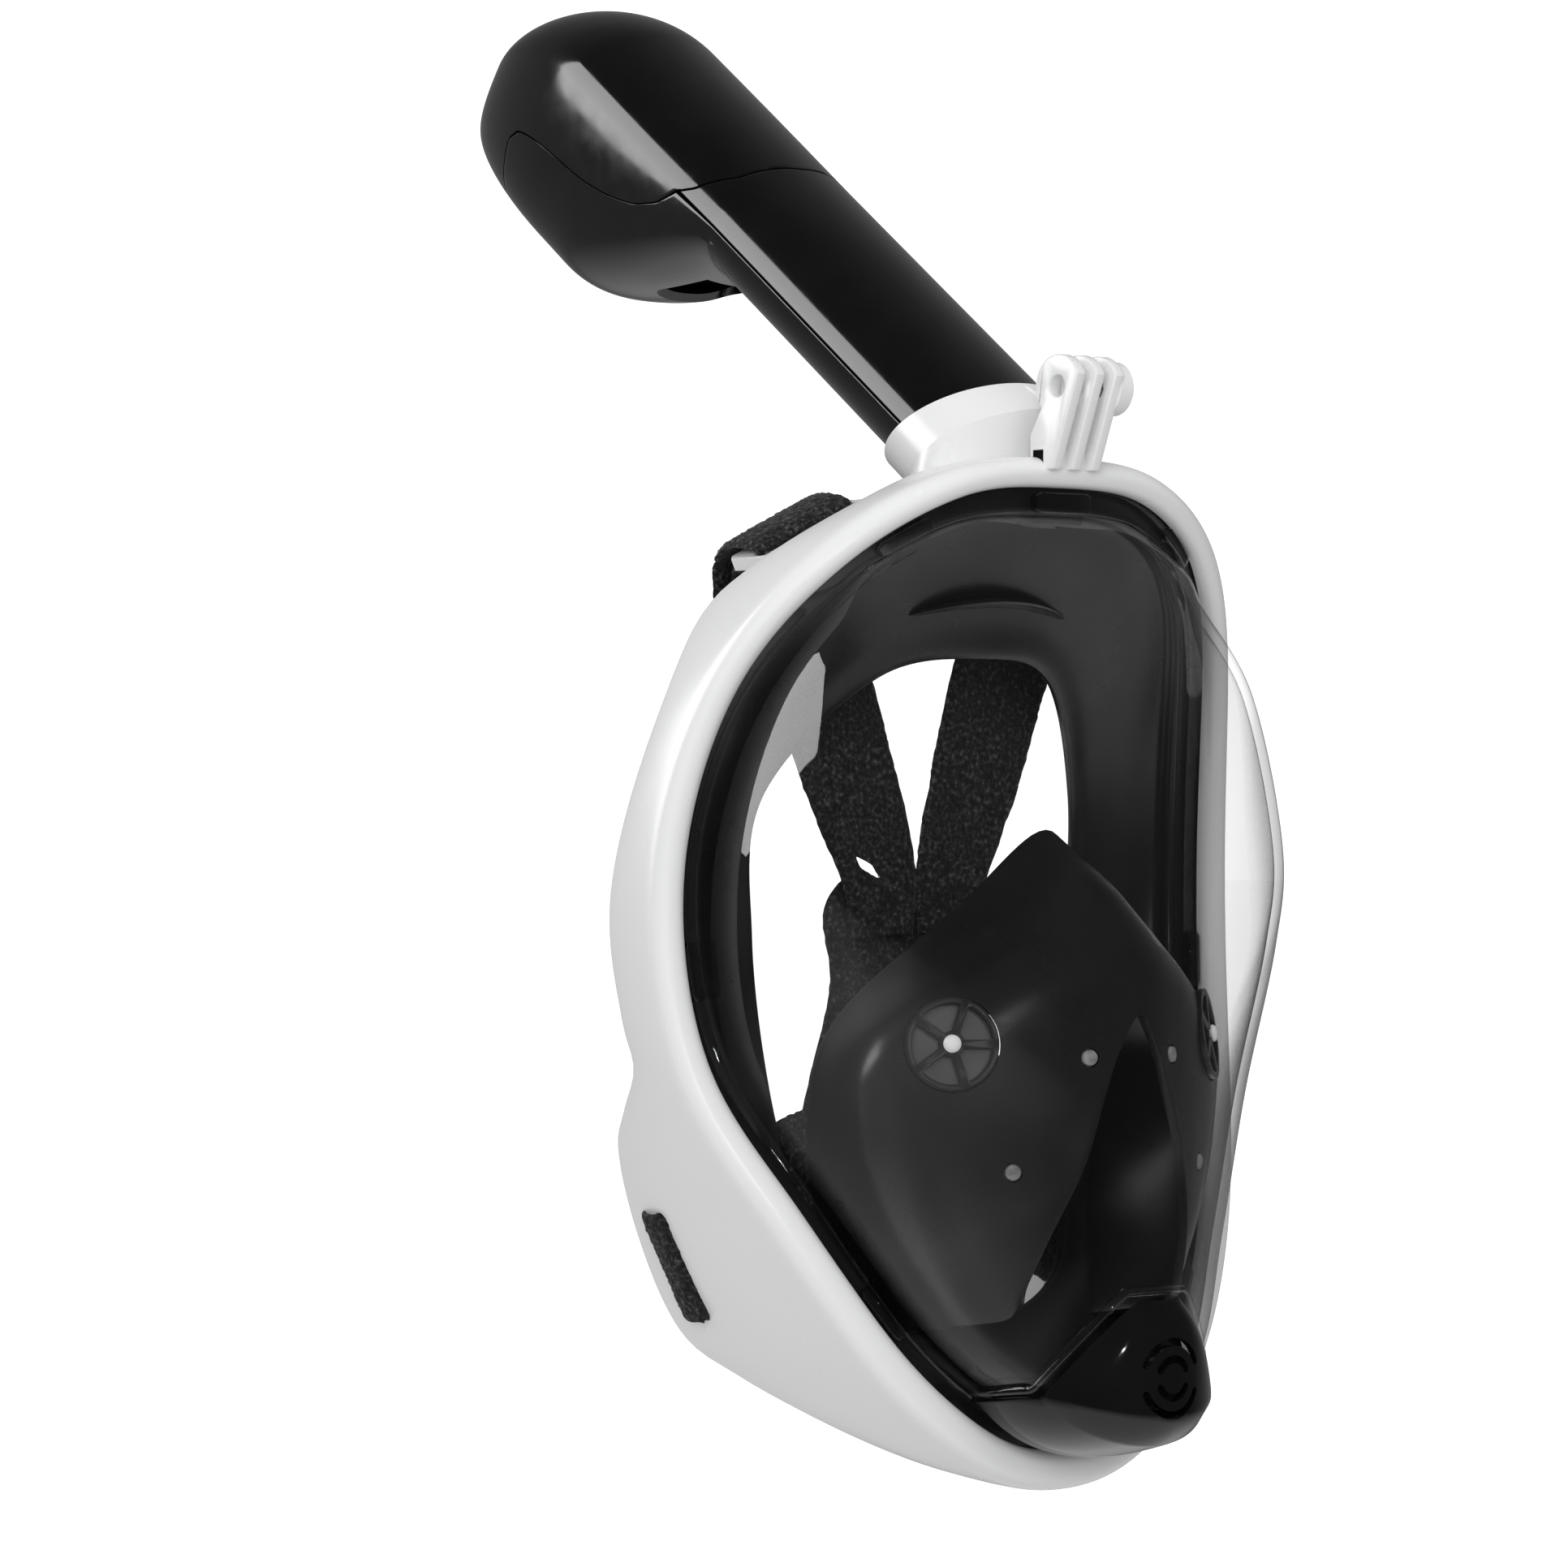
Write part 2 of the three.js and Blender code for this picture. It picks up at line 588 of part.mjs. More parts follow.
function rearShell() {
  const shell = tubeShell([SPLIT_TURN, ...overTop(BACK_TURNS), 180 - SPLIT_TURN], 20);
  const { halfWidth, low, high } = INTAKE;
  const window = new THREE.BoxGeometry(2 * halfWidth, HEAD_BACK, high - low);
  window.translate(0, TUBE_HALF_DEPTH + 3 + HEAD_BACK / 2, (low + high) / 2);
  return cut(shell, window);
}

function headCap() {
  const turns = [0, ...overTop(BACK_TURNS), 180, ...overTop(FRONT_TURNS, 180), 360];
  const surface = tubeSurface(turns, 9, (turn, v) =>
    THREE.MathUtils.lerp(capEdge(turn), HEAD_END, Math.sin((v * Math.PI) / 2)));
  return thicken(surface, -TUBE_WALL);
}

const roundedBox = (halfX, halfY, radius) => {
  const shape = new THREE.Shape();
  shape.absarc(halfX - radius, halfY - radius, radius, 0, Math.PI / 2);
  shape.absarc(radius - halfX, halfY - radius, radius, Math.PI / 2, Math.PI);
  shape.absarc(radius - halfX, radius - halfY, radius, Math.PI, 1.5 * Math.PI);
  shape.absarc(halfX - radius, radius - halfY, radius, 1.5 * Math.PI, 2 * Math.PI);
  return shape;
};

// The inner channel for fresh air: a rectangular duct down the middle of the tube.
function airDuct() {
  const shape = roundedBox(9, 10.5, 2);
  shape.holes.push(roundedBox(7.8, 9.3, 1.2));
  return extrude(shape, HEAD_START - 4 - TUBE_START, 3).translate(0, 0, TUBE_START + 1);
}

const ovalShape = (halfX, halfY) => new THREE.Shape().absellipse(0, 0, halfX, halfY, 0, 2 * Math.PI);

function tubeSeal() {
  const [halfX, halfY] = [TUBE_HALF_WIDTH - 1, TUBE_HALF_DEPTH - 1];
  const shape = ovalShape(halfX, halfY);
  shape.holes.push(ovalShape(halfX - 3, halfY - 3));
  return extrude(shape, 2, 16).translate(0, 0, TUBE_START - 2 - GAP);
}

const floatBody = () =>
  turned(
    [[0, 0], [FLOAT.radius - 1.5, 0], [FLOAT.radius, 1.5], [FLOAT.radius, FLOAT.height - 3],
      [FLOAT.radius - 4, FLOAT.height], [0, FLOAT.height]],
    [0, FLOAT.y, FLOAT.z], new THREE.Vector3(0, 0, 1), 20,
  );

function floatSeat() {
  const shape = new THREE.Shape().absarc(0, 0, FLOAT.radius + 1, 0, 2 * Math.PI);
  shape.holes.push(new THREE.Path().absarc(0, 0, FLOAT.radius - 3, 0, 2 * Math.PI));
  return extrude(shape, 2.5, 12).translate(0, FLOAT.y, FLOAT.z + FLOAT.height + FLOAT_TRAVEL + GAP);
}

// Slatted grille behind the intake window, following the slope under the housing.
function intakeGrille() {
  const { halfWidth, length, slats, slat, thickness, y, z } = GRILLE;
  const rails = [-1, 1].map((end) =>
    new THREE.BoxGeometry(2 * halfWidth, 1.5, thickness).translate(0, (end * length) / 2, 0));
  const bars = [];
  for (let i = 0; i < slats; i++) {
    const x = THREE.MathUtils.mapLinear(i, 0, slats - 1, slat / 2 - halfWidth, halfWidth - slat / 2);
    bars.push(new THREE.BoxGeometry(slat, length, thickness).translate(x, 0, 0));
  }
  return join(...rails, ...bars).rotateX(THREE.MathUtils.degToRad(90 - INTAKE.slope)).translate(0, y, z);
}

// ---- collar, release button and camera mount ----

const tubeFrame = new THREE.Matrix4()
  .makeRotationX(THREE.MathUtils.degToRad(TUBE_ANGLE - 90))
  .setPosition(...TUBE_FOOT);

const COLLAR = { clearance: 0.6, wall: 2, rim: -5.5, tilt: 7, depth: 11 };
const BUTTON = { halfWidth: 6, halfHeight: 4, thickness: 2.4, back: 20.6, z: -9 };

// The collar's outer face, from its oval rim to the wider foot on top of the frame.
function collarPoint(angle, v) {
  const [c, s] = [Math.cos(angle), Math.sin(angle)];
  const halfX = TUBE_HALF_WIDTH + COLLAR.clearance + COLLAR.wall;
  const halfY = TUBE_HALF_DEPTH + COLLAR.clearance + COLLAR.wall;
  const down = COLLAR.depth * Math.min(v, 0.5) * 2;
  const top = new THREE.Vector3(halfX * c, halfY * s, COLLAR.rim + COLLAR.tilt * s - down);
  top.applyMatrix4(tubeFrame);
  const foot = new THREE.Vector3((halfX + 1) * c, -27 + 12.5 * s, 116 - 7 * s);
  return top.lerp(foot, Math.max(0, v - 0.5) * 2);
}

function snorkelSocket() {
  const surface = new ParametricGeometry(
    (u, v, target) => target.copy(collarPoint(2 * Math.PI * u, v)), 28, 4,
  );
  const { halfWidth, halfHeight, z } = BUTTON;
  const window = new THREE.BoxGeometry(2 * (halfWidth + GAP), 12, 2 * (halfHeight + GAP));
  window.translate(0, TUBE_HALF_DEPTH + 3, z).applyMatrix4(tubeFrame);
  return cut(thicken(surface, COLLAR.wall), frameEnvelope, window);
}

function releaseButton() {
  const button = extrude(roundedBox(BUTTON.halfWidth, BUTTON.halfHeight, 2), BUTTON.thickness, 4);
  button.rotateX(Math.PI / 2).translate(0, BUTTON.back, BUTTON.z);
  return button.applyMatrix4(tubeFrame);
}

// A prong's side view: a round end on a foot that widens towards the back.
function prongShape() {
  const { radius, hole, y, z } = PRONG;
  const shape = new THREE.Shape();
  shape.absarc(y, z, radius, -0.75, Math.PI - 0.35, false);
  shape.lineTo(-53.5, 119);
  shape.lineTo(-45.6, 119);
  shape.lineTo(-45.6, 127);
  shape.holes.push(new THREE.Path().absarc(y, z, hole, 0, 2 * Math.PI));
  return shape;
}

function prong(x) {
  const plate = extrude(prongShape(), PRONG.thickness, 10);
  const axes = new THREE.Matrix4().makeBasis(
    new THREE.Vector3(0, 1, 0), new THREE.Vector3(0, 0, 1), new THREE.Vector3(1, 0, 0),
  );
  return plate.applyMatrix4(axes).translate(x - PRONG.thickness / 2, 0, 0);
}

const NUT = { flats: 8, thickness: 3.2, hole: 2.2 };
const hexagon = (flats) => {
  const radius = flats / Math.sqrt(3);
  const corners = [0, 60, 120, 180, 240, 300].map((degrees) => {
    const angle = THREE.MathUtils.degToRad(degrees);
    return new THREE.Vector2(radius * Math.cos(angle), radius * Math.sin(angle));
  });
  return new THREE.Shape(corners);
};
const SIDEWAYS = new THREE.Vector3(1, 0, 0);
const outerFace = PRONG.pitch + PRONG.thickness / 2;

function cameraMount() {
  const { y, z, pitch } = PRONG;
  const base = new THREE.BoxGeometry(2 * outerFace, 6, 5).translate(0, -48.6, 121.5);
  const boss = rod(6.4, -0.5, NUT.thickness + 0.8, [outerFace, y, z], SIDEWAYS, 20);
  const recess = extrude(hexagon(NUT.flats + 2 * GAP), NUT.thickness + 2);
  const pocket = place(recess, [outerFace + GAP, y, z], SIDEWAYS);
  const bore = rod(PRONG.hole, -2, 6, [outerFace, y, z], SIDEWAYS, 20);
  const body = join(base, prong(-pitch), prong(0), prong(pitch), boss);
  return cut(body, pocket, bore, frameEnvelope);
}

function cameraNut() {
  const shape = hexagon(NUT.flats);
  shape.holes.push(new THREE.Path().absarc(0, 0, NUT.hole, 0, 2 * Math.PI));
  return place(extrude(shape, NUT.thickness, 8), [outerFace + 2 * GAP, PRONG.y, PRONG.z], SIDEWAYS);
}

// ---- head harness ----

// A flat band along a route, with its width along one direction.
function band(route, widths, across, thickness = STRAP_THICKNESS) {
  const points = route.map(vector);
  const curve = new THREE.CatmullRomCurve3(points, false, "catmullrom", 0.5);
  const sections = [];
  const steps = route.length * 2;
  for (let i = 0; i <= steps; i++) {
    const t = i / steps;
    const along = curve.getTangent(t);
    const side = vector(across).addScaledVector(along, -vector(across).dot(along)).normalize();
    const up = along.clone().cross(side);
    const at = t * (widths.length - 1);
    const low = Math.min(Math.floor(at), widths.length - 2);
    const half = THREE.MathUtils.lerp(widths[low], widths[low + 1], at - low) / 2;
    sections.push([[1, 1], [-1, 1], [-1, -1], [1, -1]].map(([s, h]) =>
      curve.getPoint(t).addScaledVector(side, s * half).addScaledVector(up, (h * thickness) / 2)));
  }
  return loft(sections);
}

const upright = (degrees) => {
  const angle = THREE.MathUtils.degToRad(degrees);
  return [Math.sin(angle), Math.cos(angle)];
};
const [BAR_SIN, BAR_COS] = upright(UPPER_BAR.tilt);
const BAR_OUT = [BAR_SIN, 0, BAR_COS]; // away from the upper strap bar, across it
const BAR_ALONG = [BAR_COS, 0, -BAR_SIN];
const [SLOT_SIN, SLOT_COS] = upright(LOWER_SLOT.tilt);
const SLOT_ALONG = [SLOT_SIN, 0, SLOT_COS];
const barPoint = (out, back) => [
  UPPER_BAR.x + BAR_OUT[0] * out, UPPER_BAR.y + back, UPPER_BAR.z + BAR_OUT[2] * out,
];

// An upper band: up from the pad, under the bar, round it and back down behind.
function upperStrap(side) {
  const route = [
    [12, 4, 24], [20.5, 5, 47], [29, 6, 70], [38, 8, 88], barPoint(-3.6, 6), barPoint(-3.4, -2),
    barPoint(-1.8, -6.3),
    barPoint(1.8, -6.3), barPoint(3.6, -2), barPoint(3.4, 6), barPoint(-3, 12.5), [39, 13, 87], [35, 12, 76],
  ];
  return mirrorTo(side, band(route, [24, 29, 31, 32, 32, 32, 32, 32, 32, 32, 32, 32, 30], BAR_ALONG));
}

// A lower band: out from the pad, through the side slot and back inside.
function lowerStrap(side) {
  const route = [
    [14, 10.6, -46], [34, 12, -52], [50, 15.4, -60.5], [59, 18.1, -65.5], [64.6, 18.1, -68.5],
    [67.9, 16.4, -70.2], [67.9, 11.5, -70.2], [64.6, 9.9, -68.5], [58.4, 9.9, -65.2],
  ];
  return mirrorTo(side, band(route, [32, 32, 31, 30, 30, 30, 30, 30, 29], SLOT_ALONG));
}

function backPad() {
  const half = [[0, 24], [18, 23], [27, 14], [25, -4], [32, -28], [38, -50], [32, -70], [0, -76]];
  const outline = closedOutline(half.map(([x, z]) => [x, 0, z])).getSpacedPoints(28).slice(0, -1);
  const shape = new THREE.Shape(outline.map((p) => new THREE.Vector2(p.x, p.z)));
  return extrude(shape, 2.4).rotateX(Math.PI / 2).translate(0, PAD_Y + 1.2, 0);
}

// ---- assembly ----

const mask = new THREE.Group();

function add(name, geometry, material, parent = mask) {
  const mesh = new THREE.Mesh(geometry, material);
  mesh.name = name;
  parent.add(mesh);
}

add("front_frame", frontFrame(), whitePlastic());
add("rear_frame", rearFrame(), whitePlastic());
add("lens", lens(), clearPlastic());
add("face_skirt", faceSkirt(), silicone());
add("nose_pocket", nosePocket(), silicone());
for (const [name, side] of [["left", -1], ["right", 1]]) {
  add(`check_valve_seat_${name}`, valveSeat(side), silicone());
  add(`check_valve_disc_${name}`, valveDisc(side), silicone());
  add(`check_valve_pin_${name}`, valvePin(side), whitePlastic());
  studPlaces.forEach((at, i) => add(`pocket_stud_${name}_${i + 1}`, pocketStud(side, at), clearPlastic()));
  add(`strap_upper_${name}`, upperStrap(side), textile());
  add(`strap_lower_${name}`, lowerStrap(side), textile());
}
add("back_pad", backPad(), textile());
add("drain_valve_seat", drainSeat(), blackPlastic());
add("drain_valve_disc", drainDisc(), silicone());
add("drain_valve_cap", drainCap(), blackPlastic());
add("snorkel_socket", snorkelSocket(), whitePlastic());
add("release_button", releaseButton(), whitePlastic());
add("camera_mount", cameraMount(), whitePlastic());
add("camera_mount_nut", cameraNut(), steel());

const snorkel = new THREE.Group();
snorkel.rotation.x = THREE.MathUtils.degToRad(TUBE_ANGLE - 90);
snorkel.position.set(...TUBE_FOOT);
mask.add(snorkel);
add("tube_front_shell", frontShell(), blackPlastic(), snorkel);
add("tube_rear_shell", rearShell(), blackPlastic(), snorkel);
add("head_cap", headCap(), blackPlastic(), snorkel);
add("air_duct", airDuct(), blackPlastic(), snorkel);
add("tube_seal", tubeSeal(), silicone(), snorkel);
add("intake_grille", intakeGrille(), blackPlastic(), snorkel);
add("float", floatBody(), clearPlastic(), snorkel);
add("float_seat", floatSeat(), silicone(), snorkel);

export default mask;
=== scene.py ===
"""Looks of the full face snorkel mask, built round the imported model.

Outlines and profiles are in millimetres, in the row's frame: the mask faces -Y, +Z is up,
X = 0 is the mirror plane. Meshes are made in metres.
"""

import json
import math

import bmesh
import bpy
import numpy as np
from mathutils import Matrix, Quaternion, Vector

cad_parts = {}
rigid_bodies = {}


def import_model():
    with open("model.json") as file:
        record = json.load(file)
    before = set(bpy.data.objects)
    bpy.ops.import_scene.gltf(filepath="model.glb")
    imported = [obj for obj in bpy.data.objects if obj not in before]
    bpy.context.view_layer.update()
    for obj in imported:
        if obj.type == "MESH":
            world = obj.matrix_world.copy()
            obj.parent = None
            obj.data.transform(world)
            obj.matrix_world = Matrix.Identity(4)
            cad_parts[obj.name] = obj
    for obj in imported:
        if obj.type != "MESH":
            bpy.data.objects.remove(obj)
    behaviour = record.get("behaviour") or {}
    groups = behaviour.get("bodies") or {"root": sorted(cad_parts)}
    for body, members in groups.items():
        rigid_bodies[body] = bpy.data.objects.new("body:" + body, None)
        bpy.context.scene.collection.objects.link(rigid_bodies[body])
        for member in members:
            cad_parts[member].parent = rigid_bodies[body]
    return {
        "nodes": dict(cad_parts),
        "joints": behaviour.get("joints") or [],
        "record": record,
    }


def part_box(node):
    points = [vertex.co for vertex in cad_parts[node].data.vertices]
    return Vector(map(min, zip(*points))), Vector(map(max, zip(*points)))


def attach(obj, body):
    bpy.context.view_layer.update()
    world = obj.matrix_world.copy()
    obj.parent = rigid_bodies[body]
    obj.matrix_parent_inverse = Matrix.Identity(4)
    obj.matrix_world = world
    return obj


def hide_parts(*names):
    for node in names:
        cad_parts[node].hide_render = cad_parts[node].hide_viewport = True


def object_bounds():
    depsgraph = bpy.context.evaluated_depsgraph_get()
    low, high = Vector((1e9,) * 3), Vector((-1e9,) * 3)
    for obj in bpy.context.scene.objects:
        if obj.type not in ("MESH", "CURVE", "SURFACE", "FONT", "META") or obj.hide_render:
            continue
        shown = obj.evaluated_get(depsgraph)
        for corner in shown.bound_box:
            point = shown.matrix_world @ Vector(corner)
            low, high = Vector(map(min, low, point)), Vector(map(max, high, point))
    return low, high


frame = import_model()
cad_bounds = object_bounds()
record = frame["record"]
joints = {joint["name"]: joint for joint in frame["joints"]}
scene = bpy.context.scene

MM = 0.001
rng = np.random.default_rng(7)

# ---- driving outlines, shared with the CAD part ----

OPENING = [
    (0, 115), (30, 112), (57, 96), (75.8, 68), (84, 26), (80.8, -19.5), (66, -54), (45, -88), (22, -107.5), (0, -113),
]
OPENING_HALF_WIDTH = 84
FRONT_Y = -50
RIM_SWEEP = 39
RIM_WIDTH_TOP = 7.3
RIM_WIDTH_BOTTOM = 9.7
WALL = 2.4
RIM_BACK = 3.2
GAP = 0.4
REAR_EDGE = [
    (122.5, -32), (112, -29), (96, -12), (86, -5), (64, -2), (19, 8.5), (-10, 6), (-22, 4), (-32, 11), (-42, 18.5),
    (-62, 24.5), (-88, 26), (-98, 14), (-106, 0), (-114, -15), (-122.5, -33),
]
CREASE = [
    (0, -56, 97.6), (44, -42.5, 97.2), (56, -40, 87), (68.6, -44, 67), (73, -50, 31), (68.7, -52, 7), (57, -53, -29),
    (47, -55, -64), (30, -65, -91), (0, -79, -102),
]
LENS_MIDDLE = (0, -80.5, -35)
LENS_FLANGE = 5.5
FLANGE_SHARE = 0.15
CREASE_SHARE = 0.5
FACE_OPENING = [
    (0, -21, 75), (28, -14, 70), (50, 2, 42), (51, 5, 8), (46, 4, -30), (42, -4, -58), (29, -12, -78), (0, -17, -85),
]
SKIRT = 2.0
POCKET = [
    [(0, -43, 34), (20, -34, 16), (44, -18, -10), (48, -12, -32), (44, -12, -60), (31, -27, -85)],
    [(0, -62, 21), (24, -53, 8), (52, -42, -14), (55, -40, -36), (48, -42, -60), (34, -46, -82)],
    [(0, -72, 6), (22, -66, -1), (42, -56, -19), (44, -54, -38), (37, -56, -60), (27, -58, -80)],
    [(0, -75.5, -9), (6, -75, -17), (10, -74.5, -27), (16, -73.5, -44), (22, -68.5, -60), (26, -62, -76)],
]
STUDS_AT = [(0.19, 0.86), (0.38, 0.92)]
TUBE_HALF_WIDTH = 23.8
TUBE_HALF_DEPTH = 16
TUBE_START = -17
TUBE_WALL = 2
HEAD_START = 85
HEAD_FULL = 142
HEAD_BACK = 49.5
HEAD_END = 204.5
HEAD_TIP = 42
ROUNDING = {"front": 154, "back": 158, "sides": 155}
HEAD_EDGE = [
    (-90, 89), (-45, 90.5), (-13, 97), (0, 101.5), (8, 107), (13, 116), (16, 155), (19, 168), (25, 172), (90, 173),
]
BUTTON_MIDDLE = (19.4, -9)
SPLIT_TURN = 0.8
EDGE_GAP = {"turn": 0.45, "height": 0.5}
COLLAR = {"clearance": 0.6, "wall": 2.0, "rim": -5.5, "tilt": 7, "depth": 11}

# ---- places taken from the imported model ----


def middle(node):
    low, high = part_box(node)
    return (low + high) / 2 / MM


TUBE_AXIS = Vector(joints["tube_pull"]["axis"])
TUBE_DOWN = TUBE_AXIS.cross(Vector((1, 0, 0)))
BUTTON_PRESS = Vector(joints["button_press"]["axis"])


def tube_origin():
    """The middle of the collar's rim: the button's middle less its place in the tube's frame."""
    down, along = BUTTON_MIDDLE
    return middle("release_button") - TUBE_DOWN * down - TUBE_AXIS * along


TUBE_ORIGIN = tube_origin()
TUBE_FRAME = Matrix((
    (1, TUBE_DOWN.x, TUBE_AXIS.x, TUBE_ORIGIN.x),
    (0, TUBE_DOWN.y, TUBE_AXIS.y, TUBE_ORIGIN.y),
    (0, TUBE_DOWN.z, TUBE_AXIS.z, TUBE_ORIGIN.z),
    (0, 0, 0, 1),
))


def in_tube(points):
    """Points of the tube's own frame in the row's frame."""
    turn = np.array(TUBE_FRAME.to_3x3())
    return np.asarray(points, float) @ turn.T + np.array(TUBE_ORIGIN)


# ---- curves ----


def spline(points, t, closed=False):
    """A Catmull-Rom curve through points, at even parameters t from 0 to 1."""
    p = np.asarray(points, float)
    count = len(p) if closed else len(p) - 1
    if closed:
        around = np.concatenate([p[-1:], p, p[:2]])
    else:
        around = np.concatenate([2 * p[:1] - p[1:2], p, 2 * p[-1:] - p[-2:-1]])
    at = np.clip(np.asarray(t, float), 0, 1) * count
    i = np.minimum(at.astype(int), count - 1)
    s = (at - i).reshape(at.shape + (1,) * (p.ndim - 1))
    a, b, c, d = (around[i + k] for k in range(4))
    tail, head = (c - a) / 2, (d - b) / 2
    return (2 * b - 2 * c + tail + head) * s**3 + (3 * c - 3 * b - 2 * tail - head) * s**2 + tail * s + b


class Outline:
    """The same curve by share of its length, with its direction."""

    def __init__(self, points, closed):
        self.closed = closed
        self.points = spline(points, np.linspace(0, 1, 4001), closed)
        steps = np.linalg.norm(np.diff(self.points, axis=0), axis=1)
        self.share = np.concatenate([[0], np.cumsum(steps)]) / steps.sum()

    def at(self, u):
        u = np.asarray(u, float)
        u = u % 1 if self.closed else np.clip(u, 0, 1)
        return np.stack([np.interp(u, self.share, self.points[:, k]) for k in range(3)], -1)

    def along(self, u):
        step = 2e-3
        ahead = self.at(np.asarray(u) + step) - self.at(np.asarray(u) - step)
        return ahead / np.linalg.norm(ahead, axis=-1, keepdims=True)


def both_sides(half):
    right = [tuple(p) for p in half]
    left = [(-x, y, z) for x, y, z in reversed(right[1:-1])]
    return Outline(right + left, True)


def arched(half):
    right = [tuple(p) for p in half]
    left = [(-x, y, z) for x, y, z in reversed(right[1:])]
    return Outline(left + right, False)


opening = both_sides([(x, 0, z) for x, z in OPENING])
crease = both_sides(CREASE)
face_opening = both_sides(FACE_OPENING)
pocket_rows = [arched(row) for row in POCKET]
rear_edge = Outline([(z, y, 0) for z, y in REAR_EDGE], False).points


def rim_point(u, out, back):
    """A point beside the visor opening; out is away from its middle, back is behind its edge."""
    p = opening.at(u)
    along = opening.along(u)
    y = FRONT_Y + RIM_SWEEP * np.abs(p[..., 0] / OPENING_HALF_WIDTH) ** 3
    return np.stack([p[..., 0] - along[..., 2] * out, y + back, p[..., 2] + along[..., 0] * out], -1)


def rim_width(u):
    return RIM_WIDTH_TOP + (RIM_WIDTH_BOTTOM - RIM_WIDTH_TOP) * (1 - np.cos(2 * np.pi * np.asarray(u))) / 2


def rim_depth(u):
    outer = rim_point(u, rim_width(u), 0)
    return np.interp(-outer[..., 2], -rear_edge[:, 0], rear_edge[:, 1]) - outer[..., 1]


def outward(u):
    return rim_point(u, 1, 0) - rim_point(u, 0, 0)


def unit(v):
    return v / np.linalg.norm(v, axis=-1, keepdims=True)


def smoothstep(x, low, high):
    t = np.clip((x - low) / (high - low), 0, 1)
    return t * t * (3 - 2 * t)


# ---- meshes ----


def piece(name, points, faces, node=None, body="mask", slot=None, material=None):
    """A mesh object from points in millimetres."""
    mesh = bpy.data.meshes.new(name)
    mesh.from_pydata([tuple(p) for p in np.asarray(points, float) * MM], [], faces)
    mesh.validate()
    made = bpy.data.objects.new(f"{name}_visual", mesh)
    scene.collection.objects.link(made)
    if material:
        mesh.materials.append(material)
    made["planned"] = json.dumps([node or [], body, slot])
    return made


def grid_faces(rows, columns, wrap_rows=False, wrap_columns=False, flip=False):
    """Quads over a grid of points, stored row by row."""
    faces = []
    for i in range(rows if wrap_rows else rows - 1):
        for j in range(columns if wrap_columns else columns - 1):
            a, b = i * columns + j, i * columns + (j + 1) % columns
            c, d = (i + 1) % rows * columns + (j + 1) % columns, (i + 1) % rows * columns + j
            faces.append((a, d, c, b) if flip else (a, b, c, d))
    return faces


def surface(name, grid, wrap=False, flip=False, **plan):
    """An open sheet from a grid of points; its outer side is the second direction across the first."""
    rows, columns = grid.shape[:2]
    return piece(name, grid.reshape(-1, 3), grid_faces(rows, columns, wrap, False, flip), **plan)


def skin(name, sections, closed=False, **plan):
    """A skin over closed sections, with flat ends unless the row of sections closes on itself."""
    sections = np.asarray(sections, float)
    rows, columns = sections.shape[:2]
    faces = grid_faces(rows, columns, closed, True)
    if not closed:
        faces.append(tuple(range(columns))[::-1])
        faces.append(tuple(range((rows - 1) * columns, rows * columns)))
    made = piece(name, sections.reshape(-1, 3), faces, **plan)
    outside(made)
    return made


def outside(made):
    """Turns a closed mesh's faces outward."""
    shape = bmesh.new()
    shape.from_mesh(made.data)
    bmesh.ops.recalc_face_normals(shape, faces=shape.faces)
    shape.to_mesh(made.data)
    shape.free()


def rounded(profile, sizes, steps=5):
    """Closed profiles (..., corners, 2) with each corner turned into a curve of its size."""
    profile = np.asarray(profile, float)
    before = np.roll(profile, 1, -2) - profile
    after = np.roll(profile, -1, -2) - profile
    size = np.broadcast_to(np.asarray(sizes, float), profile.shape[:-1])[..., None]
    pieces_of_corner = []
    for t in np.linspace(0, 1, steps + 1):
        reach_in = np.minimum(size / np.linalg.norm(before, axis=-1, keepdims=True), 0.48) * before
        reach_out = np.minimum(size / np.linalg.norm(after, axis=-1, keepdims=True), 0.48) * after
        pieces_of_corner.append(profile + (1 - t) ** 2 * reach_in + t**2 * reach_out)
    stacked = np.stack(pieces_of_corner, -2)
    return stacked.reshape(*profile.shape[:-2], -1, 2)


def modify(made, kind, **settings):
    change = made.modifiers.new(kind.title(), kind)
    for key, value in settings.items():
        setattr(change, key, value)
    return change


def settle(made, *tools, angle=35):
    """Applies the modifiers, removes the tools that they used, and shades smooth up to an angle."""
    bpy.context.view_layer.update()
    shown = made.evaluated_get(bpy.context.evaluated_depsgraph_get())
    mesh = bpy.data.meshes.new_from_object(shown)
    made.modifiers.clear()
    made.data = mesh
    for tool in tools:
        bpy.data.objects.remove(tool)
    mesh.shade_smooth()
    mesh.set_sharp_from_angle(angle=math.radians(angle))
    return made


def thick(made, thickness, edge=0.35):
    """Gives a sheet its thickness on its inner side, with rounded edges."""
    modify(made, "SOLIDIFY", thickness=thickness * MM, offset=-1, use_even_offset=True)
    if edge:
        modify(made, "BEVEL", width=edge * MM, segments=3, limit_method="ANGLE", angle_limit=math.radians(50))
    return settle(made)


def cut(made, *tools):
    for tool in tools:
        modify(made, "BOOLEAN", operation="DIFFERENCE", object=tool, solver="EXACT")
    return settle(made, *tools)


def basis(direction):
    """A rotation that takes Z to a direction."""
    return np.array(Vector(direction).normalized().to_track_quat("Z", "Y").to_matrix())


